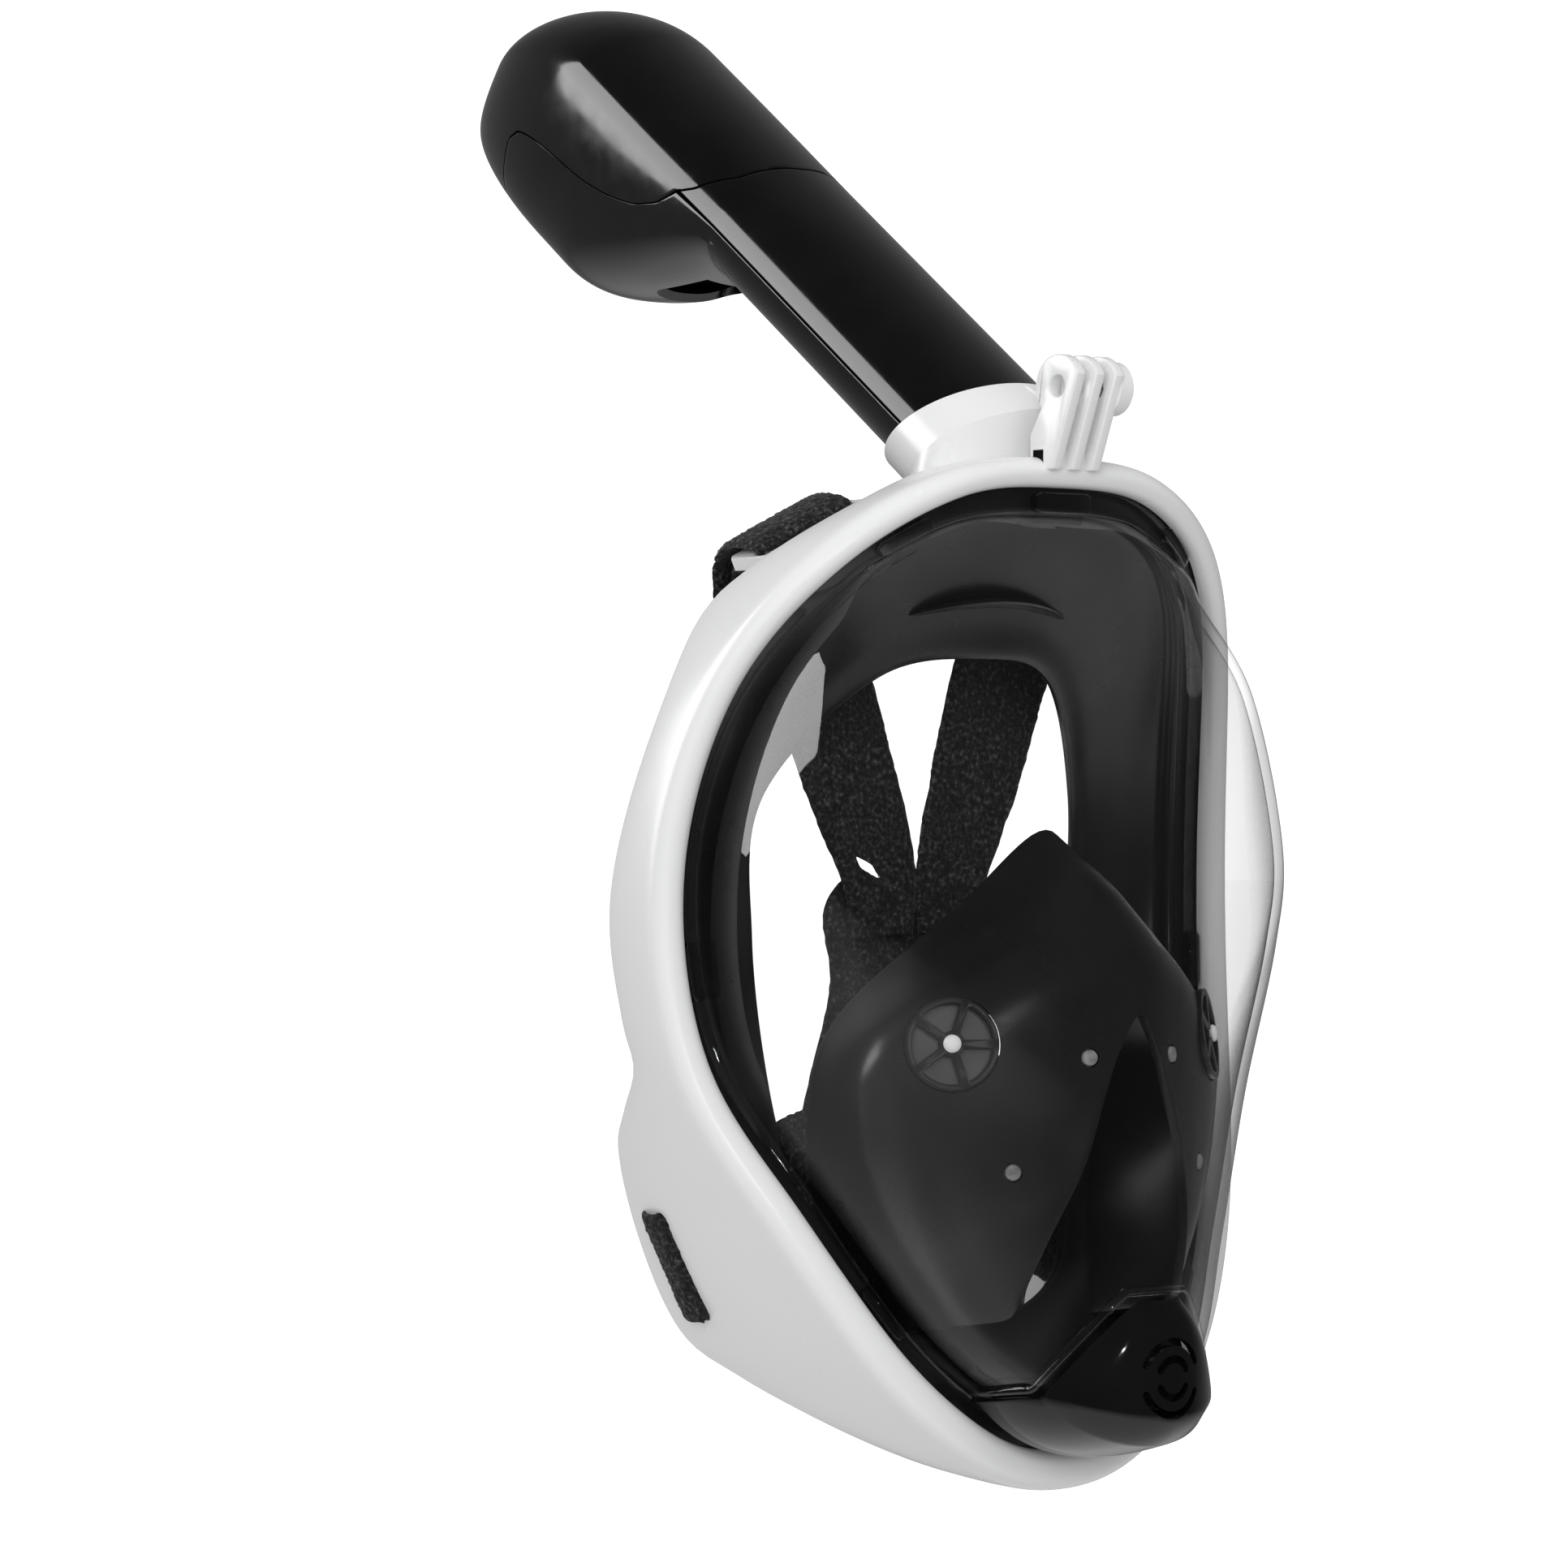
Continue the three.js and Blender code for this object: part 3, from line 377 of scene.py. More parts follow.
def turned(name, profile, point, direction, segments=48, **plan):
    """A turned piece from (radius, height) pairs that start and end on the axis."""
    turns = np.linspace(0, 2 * np.pi, segments, endpoint=False)
    inner = profile[1:-1]
    points = [(0, 0, profile[0][1])]
    points += [(r * math.cos(a), r * math.sin(a), h) for r, h in inner for a in turns]
    points.append((0, 0, profile[-1][1]))
    faces = [(0, 1 + (k + 1) % segments, 1 + k) for k in range(segments)]
    for row in range(len(inner) - 1):
        low = 1 + row * segments
        faces += [
            (low + k, low + (k + 1) % segments, low + segments + (k + 1) % segments, low + segments + k)
            for k in range(segments)
        ]
    last = 1 + (len(inner) - 1) * segments
    faces += [(last + k, last + (k + 1) % segments, len(points) - 1) for k in range(segments)]
    placed = np.array(points) @ basis(direction).T + np.array(point)
    made = piece(name, placed, faces, **plan)
    outside(made)
    return made


def block(name, outline, depth, matrix, bevel=0.4, **plan):
    """A plate from a flat outline in local X and Y, depth thick along local Z, with rounded edges."""
    flat = np.asarray(outline, float)
    count = len(flat)
    points = [(x, y, z) for z in (0, depth) for x, y in flat]
    faces = [tuple(range(count))[::-1], tuple(range(count, 2 * count))]
    faces += [(k, (k + 1) % count, count + (k + 1) % count, count + k) for k in range(count)]
    turn = np.array(matrix)
    placed = np.array(points) @ turn[:3, :3].T + turn[:3, 3]
    made = piece(name, placed, faces, **plan)
    outside(made)
    if bevel:
        modify(made, "BEVEL", width=bevel * MM, segments=3, limit_method="ANGLE", angle_limit=math.radians(40))
        settle(made)
    return made


def arc(centre, radius, start, end, steps):
    turns = np.linspace(start, end, steps)
    return [(centre[0] + radius * math.cos(a), centre[1] + radius * math.sin(a)) for a in turns]


def oblong(half_x, half_y, radius, steps=7):
    """A rectangle's outline with round corners."""
    x, y = half_x - radius, half_y - radius
    corners = [(x, y, 0), (-x, y, 1), (-x, -y, 2), (x, -y, 3)]
    return [p for cx, cy, k in corners for p in arc((cx, cy), radius, k * np.pi / 2, (k + 1) * np.pi / 2, steps)]


def placed_at(point, x_axis, y_axis):
    """A matrix with its origin at point and two given axes."""
    x, y = Vector(x_axis).normalized(), Vector(y_axis).normalized()
    z = x.cross(y)
    return Matrix((
        (x.x, y.x, z.x, point[0]), (x.y, y.y, z.y, point[1]), (x.z, y.z, z.z, point[2]), (0, 0, 0, 1),
    ))


# ---- materials ----


def node(tree, kind, inputs=None, **settings):
    made = tree.nodes.new(kind)
    for key, value in settings.items():
        setattr(made, key, value)
    for key, value in (inputs or {}).items():
        if isinstance(value, bpy.types.NodeSocket):
            tree.links.new(value, made.inputs[key])
        else:
            made.inputs[key].default_value = value
    return made


def noise(tree, scale, detail=3.0, stretch=(1, 1, 1)):
    """Noise in the row's frame; scale is in cycles per metre."""
    where = node(tree, "ShaderNodeTexCoord")
    spread = node(tree, "ShaderNodeMapping", {"Vector": where.outputs["Object"], "Scale": stretch})
    return node(
        tree, "ShaderNodeTexNoise", {"Vector": spread.outputs["Vector"], "Scale": scale, "Detail": detail}
    ).outputs["Fac"]


def spread(tree, value, low, high, start=0.3, end=0.7):
    """Maps a noise's useful range onto low to high."""
    return node(
        tree, "ShaderNodeMapRange",
        {"Value": value, "From Min": start, "From Max": end, "To Min": low, "To Max": high},
    ).outputs["Result"]


def tones(tree, value, stops):
    """A ramp of grey tones at given places."""
    ramp = node(tree, "ShaderNodeValToRGB", {"Fac": value})
    marks = ramp.color_ramp.elements
    while len(marks) < len(stops):
        marks.new(0.5)
    for mark, (place, tone) in zip(marks, stops):
        mark.position = place
        mark.color = (*(tone if isinstance(tone, tuple) else (tone,) * 3), 1)
    return ramp.outputs["Color"]


def bump(tree, height, strength, distance_mm, normal=None):
    inputs = {"Height": height, "Strength": strength, "Distance": distance_mm * MM}
    if normal is not None:
        inputs["Normal"] = normal
    return node(tree, "ShaderNodeBump", inputs).outputs["Normal"]


def principled(name):
    made = bpy.data.materials.new(name)
    made.use_nodes = True
    return made, made.node_tree, made.node_tree.nodes["Principled BSDF"]


def white_plastic():
    made, tree, shader = principled("white_plastic")
    colour = tones(tree, noise(tree, 45, 4), [(0.3, (0.862, 0.865, 0.868)), (0.7, (0.876, 0.876, 0.876))])
    tree.links.new(colour, shader.inputs["Base Color"])
    tree.links.new(spread(tree, noise(tree, 60, 2), 0.22, 0.28), shader.inputs["Roughness"])
    fine = bump(tree, noise(tree, 1100, 1), 0.015, 0.02)
    tree.links.new(bump(tree, noise(tree, 70, 2), 0.15, 0.12, fine), shader.inputs["Normal"])
    shader.inputs["Specular IOR Level"].default_value = 0.5
    return made


def black_gloss():
    made, tree, shader = principled("black_plastic")
    colour = tones(tree, noise(tree, 60, 4), [(0.3, 0.003), (0.7, 0.0055)])
    tree.links.new(colour, shader.inputs["Base Color"])
    tree.links.new(spread(tree, noise(tree, 160, 6), 0.07, 0.13), shader.inputs["Roughness"])
    fine = bump(tree, noise(tree, 900, 1), 0.03, 0.01)
    tree.links.new(bump(tree, noise(tree, 38, 1), 0.1, 0.15, fine), shader.inputs["Normal"])
    return made


def silicone(name, dark, light):
    made, tree, shader = principled(name)
    colour = tones(tree, noise(tree, 70, 5), [(0.3, dark), (0.7, light)])
    tree.links.new(colour, shader.inputs["Base Color"])
    tree.links.new(spread(tree, noise(tree, 60, 2), 0.26, 0.33), shader.inputs["Roughness"])
    fine = bump(tree, noise(tree, 900, 1), 0.012, 0.03)
    tree.links.new(bump(tree, noise(tree, 30, 1), 0.05, 0.3, fine), shader.inputs["Normal"])
    return made


def clear_plastic(name, tint, edge_tint):
    """Clear plate: what is behind it shows through, darker towards its edges, under a Fresnel gloss."""
    made, tree, shader = principled(name)
    tree.nodes.remove(shader)
    facing = node(tree, "ShaderNodeLayerWeight", {"Blend": 0.35}).outputs["Facing"]
    seen = tones(tree, facing, [(0.0, tint), (0.5, tint * 0.97), (0.78, edge_tint), (1.0, edge_tint * 0.3)])
    behind = node(tree, "ShaderNodeBsdfTransparent", {"Color": seen})
    ripple = bump(tree, noise(tree, 26, 1), 0.05, 0.2)
    haze = spread(tree, noise(tree, 140, 5), 0.012, 0.03)
    gloss = node(tree, "ShaderNodeBsdfAnisotropic", {"Color": (1, 1, 1, 1), "Roughness": haze, "Normal": ripple})
    inside = node(tree, "ShaderNodeNewGeometry").outputs["Backfacing"]
    index = node(tree, "ShaderNodeMapRange", {"Value": inside, "To Min": 1.52, "To Max": 1.0})
    shine = node(tree, "ShaderNodeFresnel", {"IOR": index.outputs["Result"]})
    mixed = node(
        tree, "ShaderNodeMixShader",
        {"Fac": shine.outputs["Fac"], 1: behind.outputs["BSDF"], 2: gloss.outputs["BSDF"]},
    )
    tree.links.new(mixed.outputs["Shader"], tree.nodes["Material Output"].inputs["Surface"])
    return made


def textile():
    """Elastic band with a looped face: small curled loops, with dark and light specks at random in its colour; the
    lightest specks are painted glints, standing in for loops that catch the light.
    """
    made, tree, shader = principled("textile")
    where = node(tree, "ShaderNodeTexCoord").outputs["Object"]
    loops = node(tree, "ShaderNodeTexVoronoi", {"Vector": where, "Scale": 1000}, feature="F1")
    strands_and_glints = noise(tree, 900, 6)
    # colour from the strand noise: random tone, and at its light end painted glints of loops catching the light
    colour = tones(tree, strands_and_glints, [(0.36, 0.005), (0.5, 0.013), (0.6, 0.035), (0.72, 0.1)])
    tree.links.new(colour, shader.inputs["Base Color"])
    shader.inputs["Roughness"].default_value = 0.9
    shader.inputs["Sheen Weight"].default_value = 0.12
    shader.inputs["Sheen Roughness"].default_value = 0.4
    curls = bump(tree, loops.outputs["Distance"], 0.5, 0.35)
    tree.links.new(bump(tree, strands_and_glints, 0.8, 0.5, curls), shader.inputs["Normal"])
    return made


def steel():
    made, tree, shader = principled("steel")
    lines = noise(tree, 400, 4, (1, 14, 1))
    tree.links.new(tones(tree, lines, [(0.3, 0.5), (0.7, 0.64)]), shader.inputs["Base Color"])
    tree.links.new(spread(tree, lines, 0.18, 0.34), shader.inputs["Roughness"])
    tree.links.new(bump(tree, lines, 0.2, 0.02), shader.inputs["Normal"])
    shader.inputs["Metallic"].default_value = 1.0
    return made


def stud_painted_glints():
    """Clear rivets drawn as grey plastic: their grey base colour is painted glints, standing in for the light that the
    clear plastic catches.
    """
    made, tree, shader = principled("clear_stud_painted_glints")
    # grey tones: painted glints of the clear rivets, not their own colour
    tree.links.new(tones(tree, noise(tree, 300, 3), [(0.3, 0.16), (0.7, 0.34)]), shader.inputs["Base Color"])
    tree.links.new(spread(tree, noise(tree, 500, 3), 0.06, 0.16), shader.inputs["Roughness"])
    tree.links.new(bump(tree, noise(tree, 400, 1), 0.3, 0.1), shader.inputs["Normal"])
    return made


WHITE = white_plastic()
BLACK = black_gloss()
RUBBER = silicone("silicone", 0.008, 0.012)
# The valve membranes get a lighter silicone: painted back-light, standing in for light that shows through the thin
# silicone.
MEMBRANE_PAINTED_BACKLIGHT = silicone("silicone_membrane_painted_backlight", 0.05, 0.085)
CLEAR = clear_plastic("clear_plastic", 0.965, 0.3)
CLEAR_BLOCK = clear_plastic("clear_trim", 0.8, 0.25)
FABRIC = textile()
STEEL = steel()
STUD_PAINTED_GLINTS = stud_painted_glints()

white = {"slot": "white_plastic", "material": WHITE}
black = {"slot": "black_plastic", "material": BLACK}
rubber = {"slot": "silicone", "material": RUBBER}
clear = {"slot": "clear_plastic", "material": CLEAR}
trim = {"slot": "clear_plastic", "material": CLEAR_BLOCK}
# the rivets keep the clear-plastic slot, drawn with the grey painted-glint material
rivet_painted_glints = {"slot": "clear_plastic", "material": STUD_PAINTED_GLINTS}
fabric = {"slot": "textile", "material": FABRIC}

# ---- white frame ----

RIM_STATIONS = 260
STATION_SHARES = np.arange(RIM_STATIONS) / RIM_STATIONS
LOWER_SLOT = {"x": 66, "y": 14, "z": -69, "width": 11, "height": 35, "tilt": 28}


def rim_ring(name, profile, sizes, steps=5, **plan):
    """A ring round the opening from a profile of (out, back) arrays."""
    u = STATION_SHARES
    corners = np.stack([np.stack([np.broadcast_to(o, u.shape), np.broadcast_to(b, u.shape)], -1) for o, b in profile], 1)
    curve = rounded(corners, sizes, steps)
    sections = rim_point(u[:, None], curve[..., 0], curve[..., 1])
    return skin(name, sections, closed=True, **plan)


def front_frame():
    u = STATION_SHARES
    w, d = rim_width(u), rim_depth(u)
    profile = [
        (0, 1), (0.8, -0.6), (3, -1.8), (w - 2.4, -1.3), (w - 0.6, 0.6), (w, 3), (w - 0.2, 3 + (d - 3) / 2),
        (w - 1, d), (w - 1 - WALL, d), (w - 0.4 - WALL, RIM_BACK), (0, RIM_BACK),
    ]
    sizes = [0.8, 1.2, 2.0, 2.5, 2.2, 2.5, 6.0, 0.9, 0.9, 1.5, 0.5]
    made = rim_ring("front_frame", profile, sizes, node=["front_frame"], **white)
    return cut(made, slot_cutter(1), slot_cutter(-1))


def slot_cutter(side):
    s = LOWER_SLOT
    tilt = math.radians(s["tilt"])
    up = (side * math.sin(tilt), 0, math.cos(tilt))
    low = Vector((side * s["x"], s["y"], s["z"])) - Vector((side * math.cos(tilt), 0, -math.sin(tilt))) * 12
    outline = oblong(s["width"] / 2, s["height"] / 2, 2.2)
    return block(f"slot_{side}", outline, 24 * side, placed_at(low, (0, side, 0), up), bevel=0)


def slot_bar(side):
    s = LOWER_SLOT
    tilt = math.radians(s["tilt"])
    up = Vector((side * math.sin(tilt), 0, math.cos(tilt)))
    point = Vector((side * (s["x"] - 0.5), s["y"], s["z"]))
    half = s["height"] / 2 + 1
    profile = [(0, -half), (1.1, -half), (1.1, half), (0, half)]
    return turned(f"front_frame_pin_{'right' if side > 0 else 'left'}", profile, point, up, 24, **white)


def rear_frame():
    u = STATION_SHARES
    w = rim_width(u)
    profile = [(-1, 9.2), (w - 3.9, 9.2), (w - 3.9, 14), (-1, 12.5)]
    made = rim_ring("rear_frame", profile, 0.8, 3, node=["rear_frame"], **white)
    for side in (1, -1):
        strap_lug(side)
    return settle(made)


UPPER_BAR = {"x": 44, "y": -0.5, "z": 104.2, "depth": 7, "length": 35.6, "tilt": 24.8}
STRAP_WIDTH = 33
BAR_TILT = math.radians(UPPER_BAR["tilt"])


def bar_axes(side):
    along = Vector((side * math.cos(BAR_TILT), 0, -math.sin(BAR_TILT)))
    out = Vector((side * math.sin(BAR_TILT), 0, math.cos(BAR_TILT)))
    return along, out


def strap_lug(side):
    b = UPPER_BAR
    along, out = bar_axes(side)
    half, end = b["length"] / 2, b["y"] + b["depth"] / 2
    outline = [(-half, -37), (half, -24), (half, end - 2), (half - 2, end), (2 - half, end), (-half, end - 2)]
    origin = Vector((side * b["x"], 0, b["z"])) - out * 1.5
    name = f"strap_lug_{'right' if side > 0 else 'left'}"
    plate = block(name, outline, 3 * side, placed_at(origin, along, (0, 1, 0)), bevel=0, **white)
    hole = oblong(STRAP_WIDTH / 2, 2.8, 1.2)
    hole_at = origin + Vector((0, b["y"] - b["depth"] / 2 - 2.8, 0)) - out * 5
    cut(plate, block(f"{name}_hole", hole, 13 * side, placed_at(hole_at, along, (0, 1, 0)), bevel=0))
    modify(plate, "BEVEL", width=0.7 * MM, segments=3, limit_method="ANGLE", angle_limit=math.radians(50))
    return settle(plate)


# ---- lens ----


def lens_point(u, v):
    """A point on the lens's outer face: v is 0 at the flange's edge and 1 at the front panel's middle."""
    u, v = np.broadcast_arrays(np.asarray(u, float), np.asarray(v, float))
    flange_out = np.interp(v, [0, FLANGE_SHARE], [0, 1])
    start = rim_width(u) - WALL - 1
    flange = rim_point(u, start + (-LENS_FLANGE - start) * flange_out, RIM_BACK + GAP)
    fold = crease.at(u)
    share = np.clip((v - FLANGE_SHARE) / (CREASE_SHARE - FLANGE_SHARE), 0, 1)[..., None]
    inner = rim_point(u, -LENS_FLANGE, RIM_BACK + GAP)
    wall = inner + (fold - inner) * share + outward(u) * 1.2 * np.sin(np.pi * share)
    reach = np.clip((1 - v) / (1 - CREASE_SHARE), 0, 1)[..., None]
    centre = np.array(LENS_MIDDLE, float)
    panel = centre + (fold - centre) * reach
    panel[..., 1] = centre[1] + (fold[..., 1] - centre[1]) * reach[..., 0] ** 2
    return np.where((v < FLANGE_SHARE)[..., None], flange, np.where((v < CREASE_SHARE)[..., None], wall, panel))


def above_lens(u, v, height):
    step = 0.004
    across = lens_point(u + step, v) - lens_point(u - step, v)
    inward = lens_point(u, v + step) - lens_point(u, v - step)
    normal = unit(np.cross(inward, across))
    return lens_point(u, v) + normal * np.asarray(height)[..., None]


def soften(grid, passes, rows):
    """Rounds the folds that run along the grid's second direction, near given rows."""
    weight = np.zeros(grid.shape[1])
    for row, reach in rows:
        weight = np.maximum(weight, np.clip(1 - np.abs(np.arange(grid.shape[1]) - row) / reach, 0, 1))
    weight = weight[None, :, None] * 0.5
    for _ in range(passes):
        average = (np.roll(grid, 1, 1) + np.roll(grid, -1, 1)) / 2
        average[:, 0], average[:, -1] = grid[:, 0], grid[:, -1]
        grid = grid + (average - grid) * weight
    return grid


def lens():
    u = np.arange(240) / 240
    flange = np.linspace(0, FLANGE_SHARE, 9)[:-1]
    wall = np.linspace(FLANGE_SHARE, CREASE_SHARE, 49)[:-1]
    panel = CREASE_SHARE + (1 - CREASE_SHARE) * np.linspace(0, 1, 61)
    v = np.concatenate([flange, wall, panel])
    grid = lens_point(u[:, None], v[None, :])
    grid = soften(grid, 6, [(len(flange), 5), (len(flange) + len(wall), 7)])
    grid = grid[:, :-1]
    rows, columns = grid.shape[:2]
    faces = grid_faces(rows, columns, True, False)
    points = np.vstack([grid.reshape(-1, 3), [LENS_MIDDLE]])
    faces += [((i + 1) % rows * columns + columns - 1, i * columns + columns - 1, len(points) - 1) for i in range(rows)]
    made = piece("lens", points, faces, node=["lens"], **clear)
    thick(made, WALL, 0.5)
    low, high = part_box("drain_valve_seat")
    centre = (low + high) / 2 / MM
    radius = (high.x - low.x) / 2 / MM + GAP
    hole = turned("drain_hole", [(0, -9), (radius, -9), (radius, 9), (0, 9)], centre, (0, -1, 0), 48)
    return cut(made, hole)


def rim_clip(name, u, half_u, low_out, high_out, low_back, high_back, **plan):
    """A small moulded block that follows the opening's edge."""
    shares = u + half_u * np.linspace(-1, 1, 13)
    middle_out, half_out = (low_out + high_out) / 2, (high_out - low_out) / 2
    middle_back, half_back = (low_back + high_back) / 2, (high_back - low_back) / 2
    corners = np.array([(-1, -1), (1, -1), (1, 1), (-1, 1)]) * (half_out, half_back) + (middle_out, middle_back)
    taper = np.where(np.abs(np.linspace(-1, 1, 13)) > 0.99, 0.7, 1.0)
    sections = []
    for share, size in zip(shares, taper):
        profile = rounded((corners - (middle_out, middle_back)) * size + (middle_out, middle_back), 0.5, 3)
        sections.append(rim_point(np.full(len(profile), share), profile[:, 0], profile[:, 1]))
    made = skin(name, sections, **plan)
    return settle(made)


def sweep(name, path, half_width, half_height, up, **plan):
    """A rounded rib along a path; its ends taper to a point."""
    along = unit(np.gradient(path, axis=0))
    side = unit(np.cross(along, up))
    lift = np.cross(side, along)
    ends = np.sin(np.linspace(0, np.pi, len(path))) ** 0.25
    ends = np.maximum(ends, 0.06)[:, None]
    turns = np.linspace(0, 2 * np.pi, 16, endpoint=False)
    rings = [path + (side * half_width * math.cos(a) + lift * half_height * math.sin(a)) * ends for a in turns]
    return settle(skin(name, np.stack(rings, 1), **plan))


def chin_lip():
    """The lens's raised lip round the chin valve's cap."""
    q = np.linspace(0.0, 0.97, 60)
    half = 0.0545 * np.sqrt(1 - (0.95 * q) ** 3) + 0.0015
    share = np.concatenate([0.5 - half, (0.5 + half)[::-1]])
    rows = 0.2 + 0.52 * np.concatenate([q, q[::-1]])
    path = above_lens(share, rows, np.full(len(rows), 1.3))
    up = above_lens(share, rows, np.full(len(rows), 3.0)) - path
    return sweep("lens_lip", path, 1.1, 1.7, up, **clear)


# ---- silicone ----


def skirt_ledge():
    """The leaf-shaped ledge on the forehead part of the skirt."""
    x = np.linspace(-1, 1, 41)
    path = np.stack([25 * x, -27 + 5 * x * x, 88.5 - 3.5 * x * x], -1)
    rings = []
    for (px, py, pz), taper in zip(path, np.maximum(np.sqrt(1 - x * x), 0.05)):
        turns = np.linspace(0, 2 * np.pi, 20, endpoint=False)
        rings.append([(px, py - 4.2 * taper * math.cos(a), pz + 1.4 * taper * math.sin(a)) for a in turns])
    return settle(skin("skirt_ledge", rings, **rubber))


def face_skirt():
    u = np.arange(200) / 200
    w = rim_width(u)
    edge = face_opening.at(u)
    neck = rim_point(u, -7.5, 11)
    away = outward(u)
    rows = [
        rim_point(u, w - WALL - 1.4, 6.6), rim_point(u, -LENS_FLANGE, 6.6), neck,
        neck + (edge - neck) * 0.35 + (0, 2.5, 0), neck + (edge - neck) * 0.72 + (0, 2, 0), edge,
        edge + away * 4 + (0, 5, 0), edge + away * 11 + (0, 7, 0),
    ]
    guide = np.stack(rows, 0)
    grid = spline(guide, np.linspace(0, 1, 50)).transpose(1, 0, 2)
    made = surface("face_skirt", grid, wrap=True, node=["face_skirt"], **rubber)
    return thick(made, SKIRT, 0.6)


def pocket_point(p, q):
    guide = np.stack([row.at(p) for row in pocket_rows], 0)
    return spline(guide, np.atleast_1d(q))


def pocket_place(p, q):
    """A point on the pocket's outer face and its outward normal."""
    step = 0.01
    point = pocket_point(np.array([p]), q)[0, 0]
    across = pocket_point(np.array([p + step]), q)[0, 0] - pocket_point(np.array([p - step]), q)[0, 0]
    forward = pocket_point(np.array([p]), q + step)[0, 0] - pocket_point(np.array([p]), q - step)[0, 0]
    return point, unit(np.cross(forward, across))


def check_valves():
    """Each valve's middle and outward direction, from its disc and its joint."""
    found = []
    for name, side in (("left", -1), ("right", 1)):
        normal = -Vector(joints[f"check_valve_{name}"]["axis"])
        found.append((name, side, middle(f"check_valve_disc_{name}") + normal * 2.7, normal))
    return found


def nose_pocket():
    p = np.linspace(0, 1, 141)
    q = np.linspace(0, 1, 71)
    grid = pocket_point(p, q).transpose(1, 0, 2)
    made = surface("nose_pocket", grid, node=["nose_pocket"], **rubber)
    thick(made, SKIRT, 0.7)
    tools = []
    for name, _, point, normal in check_valves():
        tools.append(turned(f"valve_hole_{name}", [(0, -8), (11.4, -8), (11.4, 8), (0, 8)], point, normal, 48))
    for side in (1, -1):
        for index, (at_p, at_q) in enumerate(STUDS_AT):
            point, normal = pocket_place(1 - at_p if side > 0 else at_p, at_q)
            hole = [(0, -4), (2.3, -4), (2.3, 4), (0, 4)]
            tools.append(turned(f"stud_hole_{side}_{index}", hole, point, normal, 24))
    return cut(made, *tools)


# ---- valves and studs ----


def sector(inner, outer, start, end, margin):
    """A spoked ring's window between two spokes."""
    outside_arc = arc((0, 0), outer, start + margin / outer, end - margin / outer, 14)
    inside_arc = arc((0, 0), inner, end - margin / inner, start + margin / inner, 8)
    return outside_arc + inside_arc


def spoked(name, radius, spokes, hub, width, thickness, base, point, direction, hub_hole, **plan):
    """A round plate with windows between its spokes."""
    rim = radius - 1.6
    profile = [(0, base), (radius, base), (radius, base + thickness), (0, base + thickness)]
    made = turned(name, profile, point, direction, 64, **plan)
    turn = Matrix(basis(direction).tolist()).to_4x4()
    turn.translation = Vector(point) + Vector(direction).normalized() * (base - 2)
    tools = []
    for k in range(spokes):
        shape = sector(hub, rim, 2 * np.pi * k / spokes, 2 * np.pi * (k + 1) / spokes, width / 2)
        tools.append(block(f"{name}_window_{k}", shape, thickness + 4, turn, bevel=0))
    if hub_hole:
        hole = [(0, base - 2), (hub_hole, base - 2), (hub_hole, base + thickness + 2), (0, base + thickness + 2)]
        tools.append(turned(f"{name}_bore", hole, point, direction, 24))
    cut(made, *tools)
    modify(made, "BEVEL", width=0.25 * MM, segments=2, limit_method="ANGLE", angle_limit=math.radians(50))
    return settle(made)


def valves():
    for name, _, point, normal in check_valves():
        seat = f"check_valve_seat_{name}"
        spoked(seat, 11, 5, 3, 2, 2.2, -1.8, point, normal, 1.4, node=[seat], **rubber)
        pin = f"check_valve_pin_{name}"
        head = [(0, -6.4), (1.2, -6.3), (1.8, -5.9), (1.8, -5.3), (1, -4.9), (1, 0.75), (2.0, 0.8), (2.1, 1.2)]
        head += [(1.7, 1.8), (1.0, 2.1), (0, 2.2)]
        settle(turned(pin, head, point, normal, 32, node=[pin], **white))
    for side, name in ((-1, "left"), (1, "right")):
        for index, (p, q) in enumerate(STUDS_AT, 1):
            point, normal = pocket_place(1 - p if side > 0 else p, q)
            stud = f"pocket_stud_{name}_{index}"
            profile = [(0, -3.2), (2.6, -3.2), (2.6, -2.4), (1.9, -2.4), (1.9, 0.1), (1.7, 0.5), (1.1, 0.8), (0, 0.9)]
            settle(turned(stud, profile, point, normal, 32, node=[stud], **rivet_painted_glints))


# ---- chin valve cap ----

CAP_EDGE = 2.6
CAP_RISE = 4.9
CAP_WALL = 1.8


def cap_surface(p, q, lift=0.0):
    half = 0.052 * np.sqrt(1 - (0.97 * q) ** 3)
    dome = (1 - (2 * p - 1) ** 4) * (1 - (2 * q - 1) ** 6)
    return above_lens(0.5 + half * (2 * p - 1), 0.2 + 0.5 * q, CAP_EDGE + CAP_RISE * dome + lift)


def drain_cap():
    p, q = np.meshgrid(np.linspace(0, 1, 97), np.linspace(0, 1, 97), indexing="ij")
    made = surface("drain_valve_cap", cap_surface(p, q), node=["drain_valve_cap"], **black)
    thick(made, CAP_WALL, 0.5)
    seat_low, seat_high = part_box("drain_valve_seat")
    centre = (seat_low + seat_high) / 2 / MM
    tools = []
    for radius, reach in ((4.5, 1.1), (8.5, 1.15)):
        for angle in (np.pi / 2, -np.pi / 2):
            ring = arc((0, 0), radius + 0.9, angle - reach, angle + reach, 25)
            end = (radius * math.cos(angle + reach), radius * math.sin(angle + reach))
            ring += arc(end, 0.9, angle + reach, angle + reach + np.pi, 9)[1:-1]
            ring += arc((0, 0), radius - 0.9, angle + reach, angle - reach, 25)
            start = (radius * math.cos(angle - reach), radius * math.sin(angle - reach))
            ring += arc(start, 0.9, angle - reach + np.pi, angle - reach + 2 * np.pi, 9)[1:-1]
            at = placed_at((centre.x, seat_low.y / MM + 1, centre.z - 2), (1, 0, 0), (0, 0, 1))
            name = f"cap_slot_{radius:.0f}_{'low' if angle < 0 else 'high'}"
            tools.append(block(name, ring, 16, at, bevel=0))
    return cut(made, *tools)


# ---- snorkel ----


